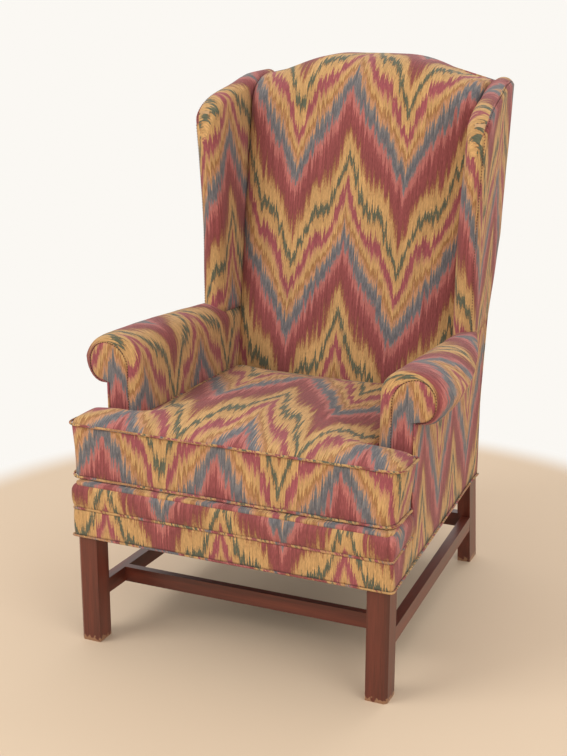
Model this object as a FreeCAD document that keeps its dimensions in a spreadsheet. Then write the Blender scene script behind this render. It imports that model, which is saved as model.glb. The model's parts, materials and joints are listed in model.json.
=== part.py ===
import FreeCAD, Part
import math
import os
import re
import Sketcher

# Wingback armchair with tight spring back, loose T-shaped seat cushion and square stretchered legs.
# Frame: +Z up, front faces -Y, origin on the floor at the middle of the bounding box. Millimetres.
# Depths named "behind" are measured back from the front faces of the front legs.

SIZES = {
    # legs, posts and stretchers
    "front_face_y": (-424.15, "front faces of the front legs"),
    "leg_side": (44.5, "square section of the front legs"),
    "leg_bevel": (6.0, "bead cut on each outer front corner"),
    "front_half_width": (339.0, "outer faces of the front legs"),
    "rear_half_width": (298.0, "outer faces of the back posts"),
    "frame_depth": (720.0, "front legs' front to back posts' rear, at the rails"),
    "post_thickness": (30.0, "back post across the chair"),
    "post_depth": (48.0, "back post front to rear"),
    "foot_sweep": (32.0, "how far the foot of a back post kicks out behind"),
    "foot_depth": (51.0, "back post front to rear at the floor"),
    "post_bend_height": (400.0, "where the back post starts to lean"),
    "post_top_height": (1092.0, "top of the back post"),
    "back_lean": (0.178, "lean of the back, per unit of height"),
    "stretcher_thickness": (20.5, "stretchers across"),
    "stretcher_height": (33.0, "stretchers, bottom to top"),
    "stretcher_top": (120.0, "top of the stretchers over the floor"),
    "stretcher_inset": (13.5, "side stretcher in from the legs' outer faces"),
    "cross_stretcher_behind": (123.0, "front of the recessed cross stretcher"),
    "cross_stretcher_thickness": (16.0, "recessed cross stretcher, front to rear"),
    "tenon_length": (12.0, "stretcher tenons into legs and stretchers"),
    "cross_tenon": (3.0, "cross stretcher ends into the side stretchers"),
    "tenon_shoulder": (4.0, "shoulder round each stretcher tenon"),
    # seat frame
    "rail_bottom": (237.0, "underside of the front rail over the floor"),
    "rail_height": (60.0, "seat rails, bottom to top"),
    "rail_thickness": (25.0, "seat rails across"),
    "seat_fall": (0.0262, "fall of the seat to the rear, per unit of depth"),
    "block_leg": (55.0, "legs of the triangular corner blocks"),
    "block_height": (36.0, "corner blocks, bottom to top"),
    "dowel_radius": (5.0, "beech dowels in the rail joints"),
    "dowel_length": (44.0, "beech dowels, end to end"),
    "dowel_spacing": (28.0, "between the two dowels of a joint"),
    "screw_radius": (2.2, "corner block screws"),
    "screw_length": (38.0, "corner block screws"),
    "screw_gap": (0.5, "screw tips clear of the dowels"),
    # seat suspension and platform, heights over the rails' underside
    "web_width": (50.0, "jute webbing"),
    "web_thickness": (1.6, "jute webbing"),
    "spring_radius": (34.0, "seat springs, at the wire's centre"),
    "spring_wire": (1.7, "radius of the spring wire"),
    "spring_height": (82.0, "seat springs, first to last turn"),
    "spring_pitch_across": (140.0, "between springs, side to side"),
    "spring_pitch_deep": (160.0, "between springs, front to rear"),
    "first_spring_behind": (170.0, "front row of springs"),
    "burlap_thickness": (1.6, "spring burlap"),
    "deck_height": (114.0, "top of the deck pad"),
    "deck_pad_thickness": (25.0, "felt pad on the burlap"),
    "skin": (2.5, "upholstery cover with its lining"),
    "band_thickness": (3.5, "padded cover on the rails and outside panels"),
    "welt_radius": (2.6, "self-covered welt cord"),
    "edge_roll_width": (48.0, "jute roll round the front of the deck"),
    "lip_behind": (1.0, "front of the edge roll and the deck pad"),
    "edge_gap": (4.0, "deck's side lips clear of the arm fronts"),
    "deck_gap": (2.0, "deck clear of the arms' inside faces"),
    "deck_tuck": (36.0, "rear edge of the deck in front of the inside back"),
    "panel_lap": (2.0, "front edge of the outside arm panels before the arms"),
    "band_corner": (9.0, "turn of the welts round the front corners"),
    "hem_radius": (2.1, "welt cord at the hem"),
    "dust_cover_thickness": (1.0, "black cambric under the seat"),
    # arms
    "arm_behind": (136.0, "front of the arms"),
    "arm_bottom": (303.0, "where the arm upholstery starts over the rails"),
    "arm_inner_half": (262.0, "inside faces of the arms"),
    "arm_roll_half": (380.0, "outermost reach of the arm rolls"),
    "arm_roll_rear_half": (331.0, "outermost reach of the rolls at the wings"),
    "arm_top_front": (627.0, "top of the arm roll at its front"),
    "arm_top_rear": (602.0, "top of the arm roll at the wing"),
    "arm_edge_round": (15.0, "rounding of the arm's front edge over its top"),
    "arm_inner_round": (25.5, "rounding of the arm's front edge on its inside"),
    "arm_outer_round": (4.0, "rounding of the roll's front edge"),
    "arm_shoulder": (52.0, "rounding of the arm's inside top edge"),
    "roll_run_under": (12.0, "how far the rolls run on under the wings"),
    "arm_post_depth": (44.0, "arm post front to rear"),
    "arm_board_thickness": (18.0, "scroll board at the front of the arm"),
    "arm_board_margin": (15.0, "padding round the scroll board"),
    "arm_front_padding": (4.0, "padding before the scroll board"),
    "arm_rail_inset": (34.0, "arm rail in from the arm's inside face, at its front"),
    "tack_rail_inset": (26.0, "tack rail in from the arm's inside face, at its front"),
    "panel_gap": (2.0, "boards in from the outside panels"),
    "arm_wood": (24.0, "thickness of the arm posts and rails"),
    "arm_rail_below_top": (58.0, "underside of the arm rail below the roll's top"),
    "tack_rail_height": (28.0, "tack rails, bottom to top"),
    "tack_rail_lift": (48.0, "tack rail over the side rail"),
    "panel_top_front": (526.0, "top of the outside arm panel at its front"),
    "panel_top_rear": (594.0, "top of the outside arm panel at the back"),
    # wings
    "wing_nose_behind": (548.0, "front of the wings"),
    "wing_half_thickness": (25.0, "half the padded wing, side to side"),
    "wing_bottom": (594.0, "bottom of the wings"),
    "wing_top_height": (1118.0, "highest point of the wings"),
    "wing_waist_height": (775.0, "where the wings start to flare"),
    "wing_nose_centre": (302.0, "middle of the wing's nose at the waist"),
    "wing_nose_top_centre": (321.0, "middle of the wing's nose at its top"),
    "wing_rear_centre": (288.0, "middle of the wing at the back"),
    "wing_board": (22.0, "thickness of the wing posts and rails"),
    "wing_post_depth": (42.0, "wing post front to rear"),
    "wing_padding": (16.0, "padding in front of the wing post"),
    "wing_nose_round": (32.0, "rounding of the wing's nose, front to rear"),
    "wing_seam_out": (18.0, "seam of the outside wing out from the wing's middle"),
    "wing_top_padding": (75.0, "top of the wing post below the wing's highest point"),
    "wing_post_inset": (3.0, "head of the wing post in from the wing's middle"),
    "wing_rail_height": (36.0, "wing rail, bottom to top"),
    "wing_rail_rise": (30.0, "rise of the wing rail to the back post"),
    # back
    "back_half_width": (266.0, "half the inside back, between the wings"),
    "back_bottom": (347.0, "bottom of the inside back over the deck"),
    "back_front_behind": (629.0, "inside back beside the wings, at the reference height"),
    "back_reference_height": (600.0, "reference height of the inside back"),
    "back_front_lean": (0.168, "lean of the inside back's face"),
    "back_crown": (20.0, "crown of the inside back at its middle"),
    "crest_height": (1162.0, "top of the crest at its middle"),
    "crest_drop": (48.0, "fall of the crest to the wings"),
    "crest_flat_half": (60.0, "half the flat top of the crest"),
    "crest_roll": (85.0, "radius of the crest's front roll"),
    "crest_edge": (12.0, "rounding of the crest's rear edge"),
    "crest_wood": (25.0, "crest rail front to rear"),
    "crest_rail_height": (62.0, "crest rail at its ends"),
    "crest_padding": (32.0, "padding over the crest rail"),
    "back_tack_lift": (18.0, "lower tack rail over the bottom of the inside back"),
    "back_web_pitch": (80.0, "between the upright strips of the back webbing"),
    "back_web_low": (480.0, "lowest level strip of the back webbing"),
    "back_web_rise": (140.0, "between the level strips of the back webbing"),
    "web_lap": (40.0, "webbing lapped on the crest rail"),
    # loose cushion, heights over the rails' underside
    "cushion_front_behind": (18.0, "front of the cushion"),
    "cushion_rear_behind": (566.0, "rear of the cushion"),
    "ear_half_width": (352.0, "half the cushion across its ears"),
    "ear_gap": (6.0, "cushion ears clear of the arm fronts"),
    "neck_gap": (6.0, "cushion clear of the arms' inside faces"),
    "cushion_shift": (-4.0, "cushion off the middle, as it lies"),
    "cushion_lift": (0.6, "cushion clear of the deck"),
    "boxing_height": (104.0, "cushion boxing"),
    "cushion_crown": (40.0, "cushion crown over its upper welt"),
    "boxing_bulge": (5.0, "boxing beyond its welts"),
    "corner_round": (26.0, "rounding of the cushion's front and rear corners"),
    "ear_round": (18.0, "rounding of the cushion ears' rear corners"),
    "neck_round": (8.0, "rounding where the ears meet the neck"),
    "cushion_belly": (8.0, "underside of the cushion below its lower welt"),
    "belly_inset": (14.0, "flat underside of the cushion in from its sides"),
    "cord_gap": (0.8, "boxing drawn in beside its welts"),
    "zip_length": (300.0, "zip in the rear boxing"),
    "zip_width": (24.0, "zip tape"),
    "zip_thickness": (1.2, "zip tape"),
    "zip_end": (6.0, "closed slider in from the end of its tape"),
    "slider_width": (8.0, "zip slider"),
    "slider_height": (11.0, "zip slider"),
    "slider_thickness": (3.0, "zip slider"),
    "pull_length": (28.0, "zip pull, from the slider's middle down"),
    "slider_gap": (0.3, "zip slider clear of its tape"),
}

doc = FreeCAD.newDocument("wingback_armchair")
sheet = doc.addObject("Spreadsheet::Sheet", "sizes")
for row, (alias, (value, note)) in enumerate(SIZES.items(), start=1):
    sheet.set(f"A{row}", alias)
    sheet.set(f"B{row}", str(value))
    sheet.set(f"C{row}", note)
    sheet.setAlias(f"B{row}", alias)
doc.recompute()

parts = []


def size(alias):
    """A driving dimension, read from the sheet."""
    return float(sheet.get(alias))


def bound(expression):
    """The expression with every alias pointed at the sheet."""
    return re.sub(r"[a-z_]+", lambda m: "sizes." + m.group() if m.group() in SIZES else m.group(), expression)


def named(thing, label):
    """Give a finished sub-part its label and list it for export."""
    thing.Label = label
    parts.append(thing)
    return thing


def at(place, x="0", y="0", z="0"):
    """Bind an object's position to the sheet."""
    place.setExpression("Placement.Base.x", bound(x))
    place.setExpression("Placement.Base.y", bound(y))
    place.setExpression("Placement.Base.z", bound(z))
    return place


def box(x0, x1, y0, y1, z0, z1):
    """A box between bound limits; y is measured behind the front legs' faces."""
    block = doc.addObject("Part::Box", "block")
    block.setExpression("Length", bound(f"({x1}) - ({x0})"))
    block.setExpression("Width", bound(f"({y1}) - ({y0})"))
    block.setExpression("Height", bound(f"({z1}) - ({z0})"))
    return at(block, x0, f"front_face_y + ({y0})", z0)


def sketch(body, role, corners, offset="0"):
    """A closed outline on one of the body's own planes, each corner bound to the sheet."""
    outline = body.newObject("Sketcher::SketchObject", "outline")
    plane = next(f for f in body.Origin.OriginFeatures if f.Role == role)
    outline.AttachmentSupport = [(plane, "")]
    outline.MapMode = "FlatFace"
    outline.setExpression("AttachmentOffset.Base.z", bound(offset))
    spots = [tuple(float(body.evalExpression(bound(e))) for e in corner) for corner in corners]
    count = len(spots)
    for i in range(count):
        start = FreeCAD.Vector(*spots[i], 0)
        end = FreeCAD.Vector(*spots[(i + 1) % count], 0)
        outline.addGeometry(Part.LineSegment(start, end), False)
    for i in range(count):
        outline.addConstraint(Sketcher.Constraint("Coincident", i, 2, (i + 1) % count, 1))
    for i, corner in enumerate(corners):
        for kind, expression, value in zip(("DistanceX", "DistanceY"), corner, spots[i]):
            row = outline.addConstraint(Sketcher.Constraint(kind, -1, 1, i, 1, value))
            outline.setExpression(f"Constraints[{row}]", bound(expression))
    return outline


def padded_board(role, corners, start, thickness):
    """A board sawn to an outline: a padded sketch."""
    body = doc.addObject("PartDesign::Body", "board")
    outline = sketch(body, role, corners, start)
    pad = body.newObject("PartDesign::Pad", "pad")
    pad.Profile = outline
    pad.setExpression("Length", bound(thickness))
    return body


def rectangle(a0, a1, b0, b1):
    """Corners of a rectangle, as pairs of expressions."""
    return [(a0, b0), (a1, b0), (a1, b1), (a0, b1)]


def tapered_board(role, near, near_corners, far, far_corners):
    """A straight board between two parallel sections: a lofted pair of sketches."""
    body = doc.addObject("PartDesign::Body", "board")
    first = sketch(body, role, near_corners, near)
    second = sketch(body, role, far_corners, far)
    loft = body.newObject("PartDesign::AdditiveLoft", "loft")
    loft.Profile = first
    loft.Sections = [second]
    loft.Ruled = True
    return body


def cylinder(radius, length, axis, x, y, z):
    """A peg along an axis from a bound point; y is measured behind the front legs' faces."""
    peg = doc.addObject("Part::Cylinder", "peg")
    peg.setExpression("Radius", bound(radius))
    peg.setExpression("Height", bound(length))
    peg.Placement.Rotation = FreeCAD.Rotation(FreeCAD.Vector(0, 0, 1), FreeCAD.Vector(*axis))
    return at(peg, x, f"front_face_y + ({y})", z)


def group(label, members):
    """Several like pieces in one node."""
    bundle = doc.addObject("Part::Compound", "bundle")
    bundle.Links = members
    return named(bundle, label)


def cut_away(base, tools):
    """A board with its holes and housings cut."""
    for tool in tools:
        cut = doc.addObject("Part::Cut", "cut")
        cut.Base = base
        cut.Tool = tool
        base = cut
    return base


def less(label, base, tools):
    """A named board with its holes and housings cut."""
    return named(cut_away(base, tools), label)


def feature(label, shape):
    """A formed piece, placed on the sheet's own values."""
    form = doc.addObject("Part::Feature", "form")
    form.Shape = shape
    return named(form, label)


# Outline pieces worked out in plain numbers; cutting shapes reach ROOM wide and PAST what they trim

ROOM = 500.0
PAST = 5.0
FRONT = size("front_face_y")
FALL = size("seat_fall")
SKIN = size("skin")


def vector(x, behind, z):
    """A point of the chair, with its depth measured behind the front legs' faces."""
    return FreeCAD.Vector(x, FRONT + behind, z)


def wire(*stretches):
    """A closed wire from stretches: two points make a line, three make an arc."""
    edges = []
    for stretch in stretches:
        if len(stretch) == 2:
            edges.append(Part.LineSegment(*stretch).toShape())
        else:
            edges.append(Part.Arc(*stretch).toShape())
    return Part.Wire(edges)


def polygon(points):
    """A closed wire of straight lines."""
    return Part.makePolygon(list(points) + [points[0]])


def prism(points, along):
    """A solid swept from a flat closed outline."""
    return Part.Face(polygon(points)).extrude(along)


def loft(sections, ruled=False):
    """A solid through closed wires."""
    return Part.makeLoft(sections, True, ruled)


def mirrored(shape):
    """The other side's copy."""
    return shape.mirror(FreeCAD.Vector(0, 0, 0), FreeCAD.Vector(1, 0, 0))


def fell(shape, pivot_z):
    """Tip a level seat piece so that it falls to the rear with the rails."""
    turned = shape.copy()
    turned.rotate(vector(0, 0, pivot_z), FreeCAD.Vector(1, 0, 0), -math.degrees(math.atan(FALL)))
    return turned


def corner_arc(before, here, after, radius):
    """Start, middle and end of the arc that rounds a corner."""
    arriving = (here - before).normalize()
    leaving = (after - here).normalize()
    bend = math.acos(max(-1.0, min(1.0, arriving * leaving)))
    reach = radius * math.tan(bend / 2)
    start = here - arriving * reach
    end = here + leaving * reach
    chord_middle = (start + end) * 0.5
    toward = (here - chord_middle).normalize()
    return start, chord_middle + toward * (radius * (1 - math.cos(bend / 2))), end


def rounded_loop(corners, radii, inset, z):
    """A closed loop of lines and corner arcs at one height, drawn in by an inset."""
    count = len(corners)
    moved = []
    fitted = []
    for i in range(count):
        before, here, after = (FreeCAD.Vector(*corners[(i + k) % count], 0) for k in (-1, 0, 1))
        arriving = (here - before).normalize()
        leaving = (after - here).normalize()
        turn = arriving.x * leaving.y - arriving.y * leaving.x
        inward = FreeCAD.Vector(-arriving.y - leaving.y, arriving.x + leaving.x, 0)
        moved.append(here + inward * (inset / (1 + arriving * leaving)) + FreeCAD.Vector(0, 0, z))
        fitted.append(radii[i] - inset if turn > 0 else radii[i] + inset)
    arcs = [corner_arc(moved[i - 1], moved[i], moved[(i + 1) % count], fitted[i]) for i in range(count)]
    edges = []
    for i in range(count):
        edges.append(Part.Arc(*arcs[i]).toShape())
        edges.append(Part.LineSegment(arcs[i][2], arcs[(i + 1) % count][0]).toShape())
    return Part.Wire(edges)


def rounded_route(points, radii):
    """An open route of lines and corner arcs through points."""
    edges = []
    last = points[0]
    for i in range(1, len(points) - 1):
        start, middle, end = corner_arc(points[i - 1], points[i], points[i + 1], radii[i - 1])
        edges.append(Part.LineSegment(last, start).toShape())
        edges.append(Part.Arc(start, middle, end).toShape())
        last = end
    edges.append(Part.LineSegment(last, points[-1]).toShape())
    return Part.Wire(edges)


def cord(path, radius):
    """A round cord along a wire of lines and arcs."""
    first = path.OrderedEdges[0]
    start = first.valueAt(first.FirstParameter)
    along = first.tangentAt(first.FirstParameter)
    circle = Part.Wire(Part.Circle(start, along, radius).toShape())
    return path.makePipeShell([circle], True, False)


# Legs, posts and stretchers

def fallen(depth, height="0"):
    """A height over the rails' underside at a depth, as an expression."""
    return f"rail_bottom + ({height}) - ({depth}) * seat_fall"


RAIL_INNER_FRONT = "(front_half_width - rail_thickness)"
RAIL_INNER_REAR = "(rear_half_width - rail_thickness)"
POST_FRONT = "(frame_depth - post_depth)"
RAIL_RUN = f"({POST_FRONT} - leg_side)"
TAPER = f"((front_half_width - rear_half_width) / {RAIL_RUN})"


def outer(depth):
    """Half width over the frame's sides at a depth, as an expression."""
    return f"(front_half_width - (({depth}) - leg_side) * {TAPER})"


def signed(side, expression):
    """The expression on the right, its negative on the left."""
    return f"{side} * ({expression})"


def front_leg(side):
    """Square leg with a bevelled outer front corner, up to the rails' top."""
    inner = signed(side, "front_half_width - leg_side")
    outside = signed(side, "front_half_width")
    bevelled = signed(side, "front_half_width - leg_bevel")
    corners = [
        (inner, "front_face_y"),
        (bevelled, "front_face_y"),
        (outside, "front_face_y + leg_bevel"),
        (outside, "front_face_y + leg_side"),
        (inner, "front_face_y + leg_side"),
    ]
    return padded_board("XY_Plane", corners, "0", "rail_bottom + rail_height - leg_side * seat_fall")


def back_post(side):
    """Leg and back post sawn from one plank: swept foot, upright at the seat, leaning back above it."""
    lean = "back_lean * (post_top_height - post_bend_height)"
    rear = "front_face_y + frame_depth"
    knee = fallen("frame_depth")
    corners = [
        (f"{rear} + foot_sweep - foot_depth", "0"),
        (f"{rear} + foot_sweep", "0"),
        (rear, knee),
        (rear, "post_bend_height"),
        (f"{rear} + {lean}", "post_top_height"),
        (f"{rear} + {lean} - post_depth", "post_top_height"),
        (f"{rear} - post_depth", "post_bend_height"),
        (f"{rear} - post_depth", knee),
    ]
    start = "rear_half_width - post_thickness" if side > 0 else "-rear_half_width"
    return padded_board("YZ_Plane", corners, start, "post_thickness")


def dowel_pair(axis, x, y, z):
    """Two dowels one over the other, centred on a joint."""
    back_x, back_y = (f"{x} - {axis[0]} * dowel_length / 2", f"{y} - {axis[1]} * dowel_length / 2")
    return [
        cylinder("dowel_radius", "dowel_length", axis, back_x, back_y, f"{z} + {sign} * dowel_spacing / 2")
        for sign in (-1, 1)
    ]


SIDES = (("left", -1), ("right", 1))
across = (1, 0, 0)
deep = (0, 1, 0)
mid_rail = "rail_height / 2"

legs = {}
posts = {}
side_rails = {}
dowels = {}
for name, side in SIDES:
    legs[name] = front_leg(side)
    posts[name] = back_post(side)
    near = rectangle(signed(side, "front_half_width"), signed(side, RAIL_INNER_FRONT),
                     fallen("leg_side"), fallen("leg_side", "rail_height"))
    far = rectangle(signed(side, "rear_half_width"), signed(side, RAIL_INNER_REAR),
                    fallen(POST_FRONT), fallen(POST_FRONT, "rail_height"))
    side_rails[name] = tapered_board("XZ_Plane", "-(front_face_y + leg_side)", near,
                                     f"-(front_face_y + {POST_FRONT})", far)
    middle_front = signed(side, "front_half_width - rail_thickness / 2")
    middle_rear = signed(side, "rear_half_width - rail_thickness / 2")
    dowels[name] = {
        "front": dowel_pair(across, signed(side, "front_half_width - leg_side"), "rail_thickness / 2",
                            fallen("0", mid_rail)),
        "side_front": dowel_pair(deep, middle_front, "leg_side", fallen("leg_side", mid_rail)),
        "side_rear": dowel_pair(deep, middle_rear, POST_FRONT, fallen(POST_FRONT, mid_rail)),
        "back": dowel_pair(across, signed(side, "rear_half_width - post_thickness"),
                           "frame_depth - rail_thickness / 2", fallen("frame_depth", mid_rail)),
    }

front_rail = box("-(front_half_width - leg_side)", "front_half_width - leg_side", "0", "rail_thickness",
                 fallen("0"), fallen("0", "rail_height"))
back_rail = box("-(rear_half_width - post_thickness)", "rear_half_width - post_thickness",
                "frame_depth - rail_thickness", "frame_depth",
                fallen("frame_depth - rail_thickness"), fallen("frame_depth - rail_thickness", "rail_height"))


def side_stretcher(side):
    """Side stretcher with shouldered tenons into the front leg and the back post."""
    half = "stretcher_thickness / 2"

    def sections(inset, rise, near, far):
        corners = []
        for face in ("front_half_width", "rear_half_width"):
            middle = f"({face} - stretcher_inset - {half})" if face == "front_half_width" else f"({face} - {half})"
            corners.append(rectangle(signed(side, f"{middle} + {half} - {inset}"),
                                     signed(side, f"{middle} - {half} + {inset}"),
                                     f"stretcher_top - stretcher_height + {rise}", f"stretcher_top - {rise}"))
        return tapered_board("XZ_Plane", f"-(front_face_y + {near})", corners[0],
                             f"-(front_face_y + {far})", corners[1])

    foot_front = "(frame_depth + (foot_sweep - foot_depth)" \
                 " + (foot_depth - post_depth - foot_sweep) * stretcher_top / rail_bottom)"
    body = sections("0", "0", "leg_side", f"{foot_front} - 0.5")
    tenons = sections("tenon_shoulder", "tenon_shoulder", "leg_side - tenon_length", f"{foot_front} + tenon_length")
    whole = doc.addObject("Part::MultiFuse", "stretcher")
    whole.Shapes = [body, tenons]
    return whole


stretchers = {name: side_stretcher(side) for name, side in SIDES}
STRETCHER_FRONT_INNER = "(front_half_width - stretcher_inset - stretcher_thickness)"
cross_reach = f"{STRETCHER_FRONT_INNER} + cross_tenon"
cross_body = box(f"-({cross_reach})", cross_reach, "cross_stretcher_behind",
                 "cross_stretcher_behind + cross_stretcher_thickness",
                 "stretcher_top - stretcher_height", "stretcher_top")
rear_middle = "(frame_depth + foot_sweep - foot_depth / 2 - foot_sweep * stretcher_top / rail_bottom)"
rear_stretcher = box("-(rear_half_width - post_thickness + tenon_length)",
                     "rear_half_width - post_thickness + tenon_length",
                     f"{rear_middle} - stretcher_thickness / 2", f"{rear_middle} + stretcher_thickness / 2",
                     "stretcher_top - stretcher_height", "stretcher_top")
named(cross_body, "cross_stretcher")
named(rear_stretcher, "rear_stretcher")

# Corner blocks and their screws


def corner_block(side, rear):
    """Triangular block in a corner of the seat frame."""
    if rear:
        corner_y = "front_face_y + frame_depth - rail_thickness"
        corner_x = "rear_half_width - post_thickness"
        forward = "-1"
        base = fallen("frame_depth - rail_thickness", "(rail_height - block_height) / 2")
    else:
        corner_y = "front_face_y + rail_thickness"
        corner_x = "front_half_width - leg_side"
        forward = "1"
        base = fallen("rail_thickness", "(rail_height - block_height) / 2")
    corners = [
        (signed(side, corner_x), corner_y),
        (signed(side, f"{corner_x} - block_leg"), corner_y),
        (signed(side, corner_x), f"{corner_y} + {forward} * block_leg"),
    ]
    return padded_board("XY_Plane", corners, base, "block_height")


blocks = []
screws = []
for name, side in SIDES:
    for rear in (False, True):
        blocks.append(corner_block(side, rear))
        if rear:
            spot_x = "rear_half_width - post_thickness - block_leg / 3"
            height = fallen("frame_depth - rail_thickness", "rail_height / 2")
            heading = (0, 1, 0)
            start_y = "frame_depth - rail_thickness / 2 - dowel_radius - screw_gap - screw_length"
        else:
            spot_x = "front_half_width - leg_side - block_leg / 3"
            height = fallen("rail_thickness", "rail_height / 2")
            heading = (0, -1, 0)
            start_y = "rail_thickness / 2 + dowel_radius + screw_gap + screw_length"
        for sign in (-1, 1):
            screws.append(cylinder("screw_radius", "screw_length", heading, signed(side, spot_x), start_y,
                                   f"{height} + {sign} * block_height / 4"))

block_bundle = doc.addObject("Part::Compound", "blocks")
block_bundle.Links = blocks
screw_bundle = group("corner_block_screws", screws)
less("corner_blocks", block_bundle, [screw_bundle])

dowel_list = [peg for ends in dowels.values() for pair in ends.values() for peg in pair]
dowel_bundle = group("frame_dowels", dowel_list)
less("front_seat_rail", front_rail, [dowel_bundle, screw_bundle])
less("back_seat_rail", back_rail, [dowel_bundle, screw_bundle])
for name, side in SIDES:
    less(f"front_leg_{name}", legs[name], [dowel_bundle, stretchers[name]])
    less(f"back_post_{name}", posts[name], [dowel_bundle, stretchers[name], rear_stretcher])
    less(f"side_seat_rail_{name}", side_rails[name], [dowel_bundle])
    less(f"side_stretcher_{name}", stretchers[name], [cross_body])


# Seat suspension: webbing, springs and burlap fall to the rear with the rails

DEPTH = size("frame_depth")
POST_FACE = DEPTH - size("post_depth")
RAIL = size("rail_thickness")
ARM_FRONT = size("arm_behind")

def fallen_slab(plan, z0, z1):
    """A plate over a plan outline, falling to the rear; heights are over the rails' underside."""
    low = size("rail_bottom") + z0
    high = size("rail_bottom") + z1
    near, far = -ROOM, DEPTH + ROOM
    view = [vector(-ROOM, near, low - near * FALL), vector(-ROOM, far, low - far * FALL),
            vector(-ROOM, far, high - far * FALL), vector(-ROOM, near, high - near * FALL)]
    column = prism([vector(x, behind, 0) for x, behind in plan], FreeCAD.Vector(0, 0, 2 * ROOM))
    return column.common(prism(view, FreeCAD.Vector(2 * ROOM, 0, 0)))


def seat_board(x0, x1, y0, y1, z0, z1):
    """A rectangular board of the seat."""
    return fallen_slab(((x0, y0), (x1, y0), (x1, y1), (x0, y1)), z0, z1)


def half_width(behind):
    """Half width over the frame's sides at a depth; the back posts stand square."""
    taper = (size("front_half_width") - size("rear_half_width")) / (POST_FACE - size("leg_side"))
    return size("front_half_width") - (min(behind, POST_FACE) - size("leg_side")) * taper


def trapezoid(near, far, margin, z0, z1):
    """A slab of the seat between the chair's tapering sides."""
    near_half = half_width(near) - margin
    far_half = half_width(far) - margin
    return fallen_slab(((-near_half, near), (near_half, near), (far_half, far), (-far_half, far)), z0, z1)


WEB = size("web_width")
WEB_THICK = size("web_thickness")
SPRING_TOP = size("spring_height") + 2 * size("spring_wire")
spring_rows = [size("first_spring_behind") + row * size("spring_pitch_deep") for row in range(3)]
spring_columns = [column * size("spring_pitch_across") for column in (-1, 0, 1)]


def seat_webbing():
    """Crossed strips tacked under the rails, a strip under each row of springs."""
    strips = []
    for x in spring_columns:
        strips.append(seat_board(x - WEB / 2, x + WEB / 2, RAIL / 2, DEPTH - RAIL / 2, -WEB_THICK, 0))
    for behind in spring_rows:
        reach = half_width(behind) - RAIL / 2
        strips.append(seat_board(-reach, reach, behind - WEB / 2, behind + WEB / 2, -2 * WEB_THICK, -WEB_THICK))
    return Part.makeCompound(strips)


def coil(x, behind):
    """One seat spring: four open turns of wire, in quarter-turn arcs."""
    turns = 4
    radius = size("spring_radius")
    base = size("rail_bottom") + size("spring_wire")
    rise = size("spring_height") / turns

    def point(turn):
        angle = 2 * math.pi * turn
        return vector(x + radius * math.cos(angle), behind + radius * math.sin(angle), base + rise * turn)

    arcs = []
    for quarter in range(4 * turns):
        start = quarter / 4
        arcs.append(Part.Arc(point(start), point(start + 0.125), point(start + 0.25)).toShape())
    return cord(Part.Wire(arcs), size("spring_wire"))


def seat_springs():
    """Nine springs standing on the webbing crossings."""
    level = Part.makeCompound([coil(x, behind) for behind in spring_rows for x in spring_columns])
    return fell(level, size("rail_bottom"))


feature("seat_webbing", seat_webbing())
feature("seat_springs", seat_springs())
burlap_top = SPRING_TOP + size("burlap_thickness")
deck_half = size("arm_inner_half") - size("deck_gap")
deck_ear_rear = ARM_FRONT - size("edge_gap")
deck_rear = size("back_front_behind") - size("back_crown") - size("deck_tuck")
DECK = size("deck_height")
PAD = size("deck_pad_thickness")
LIP = size("edge_roll_width")
LIP_FRONT = size("lip_behind")
LIP_MARGIN = size("leg_bevel") / 2


def deck_slab(z0, z1, margin=0.0):
    """T-shaped slab: full width before the arms, narrow between them."""
    front = trapezoid(LIP_FRONT + margin, deck_ear_rear, LIP_MARGIN + margin, z0, z1)
    rear = seat_board(-deck_half, deck_half, deck_ear_rear, deck_rear, z0, z1)
    return front.fuse(rear).removeSplitter()


def edge_roll():
    """Jute roll along the front and round to the arms, under the pad's lip."""
    bottom = size("rail_height") + RAIL * FALL
    outer_slab = trapezoid(LIP_FRONT, deck_ear_rear, LIP_MARGIN, bottom, DECK - PAD)
    return outer_slab.cut(trapezoid(LIP, ARM_FRONT, LIP, bottom - PAST, DECK))


def spring_burlap():
    """Burlap over the springs, inside the edge roll and between the arms."""
    front = trapezoid(LIP, deck_ear_rear, LIP, SPRING_TOP, burlap_top)
    rear = seat_board(-deck_half, deck_half, deck_ear_rear, deck_rear, SPRING_TOP, burlap_top)
    return front.fuse(rear).removeSplitter()


feature("spring_burlap", spring_burlap())
feature("deck_edge_roll", edge_roll())
feature("deck_pad", deck_slab(DECK - PAD, DECK))
feature("deck_cover", deck_slab(DECK, DECK + SKIN, -SKIN))
feature("dust_cover", trapezoid(size("leg_side"), POST_FACE, RAIL / 2,
                                -2 * WEB_THICK - size("dust_cover_thickness"), -2 * WEB_THICK))

# Bands and welts round the front of the seat


def u_band(face, thickness, z0, z1, rear):
    """A strip across the front and back along both sides to a depth."""
    outside = trapezoid(-face, rear, -face, z0, z1)
    inside = trapezoid(-face + thickness, rear + PAST, -face + thickness, z0 - PAST, z1 + PAST)
    return outside.cut(inside)


def u_path(face, rear, level, corner):
    """A route for a cord from one side's rear, across the front, to the other side's rear."""
    stops = [(half_width(rear) + face, rear)]
    radii = []
    if rear > POST_FACE:
        stops.append((half_width(POST_FACE) + face, POST_FACE))
        radii.append(20 * corner)
    stops.append((half_width(-face) + face, -face))
    radii.append(corner)
    right = [vector(x, behind, size("rail_bottom") + level - behind * FALL) for x, behind in stops]
    left = [FreeCAD.Vector(-point.x, point.y, point.z) for point in reversed(right)]
    return rounded_route(right + left, radii + list(reversed(radii)))


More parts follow.
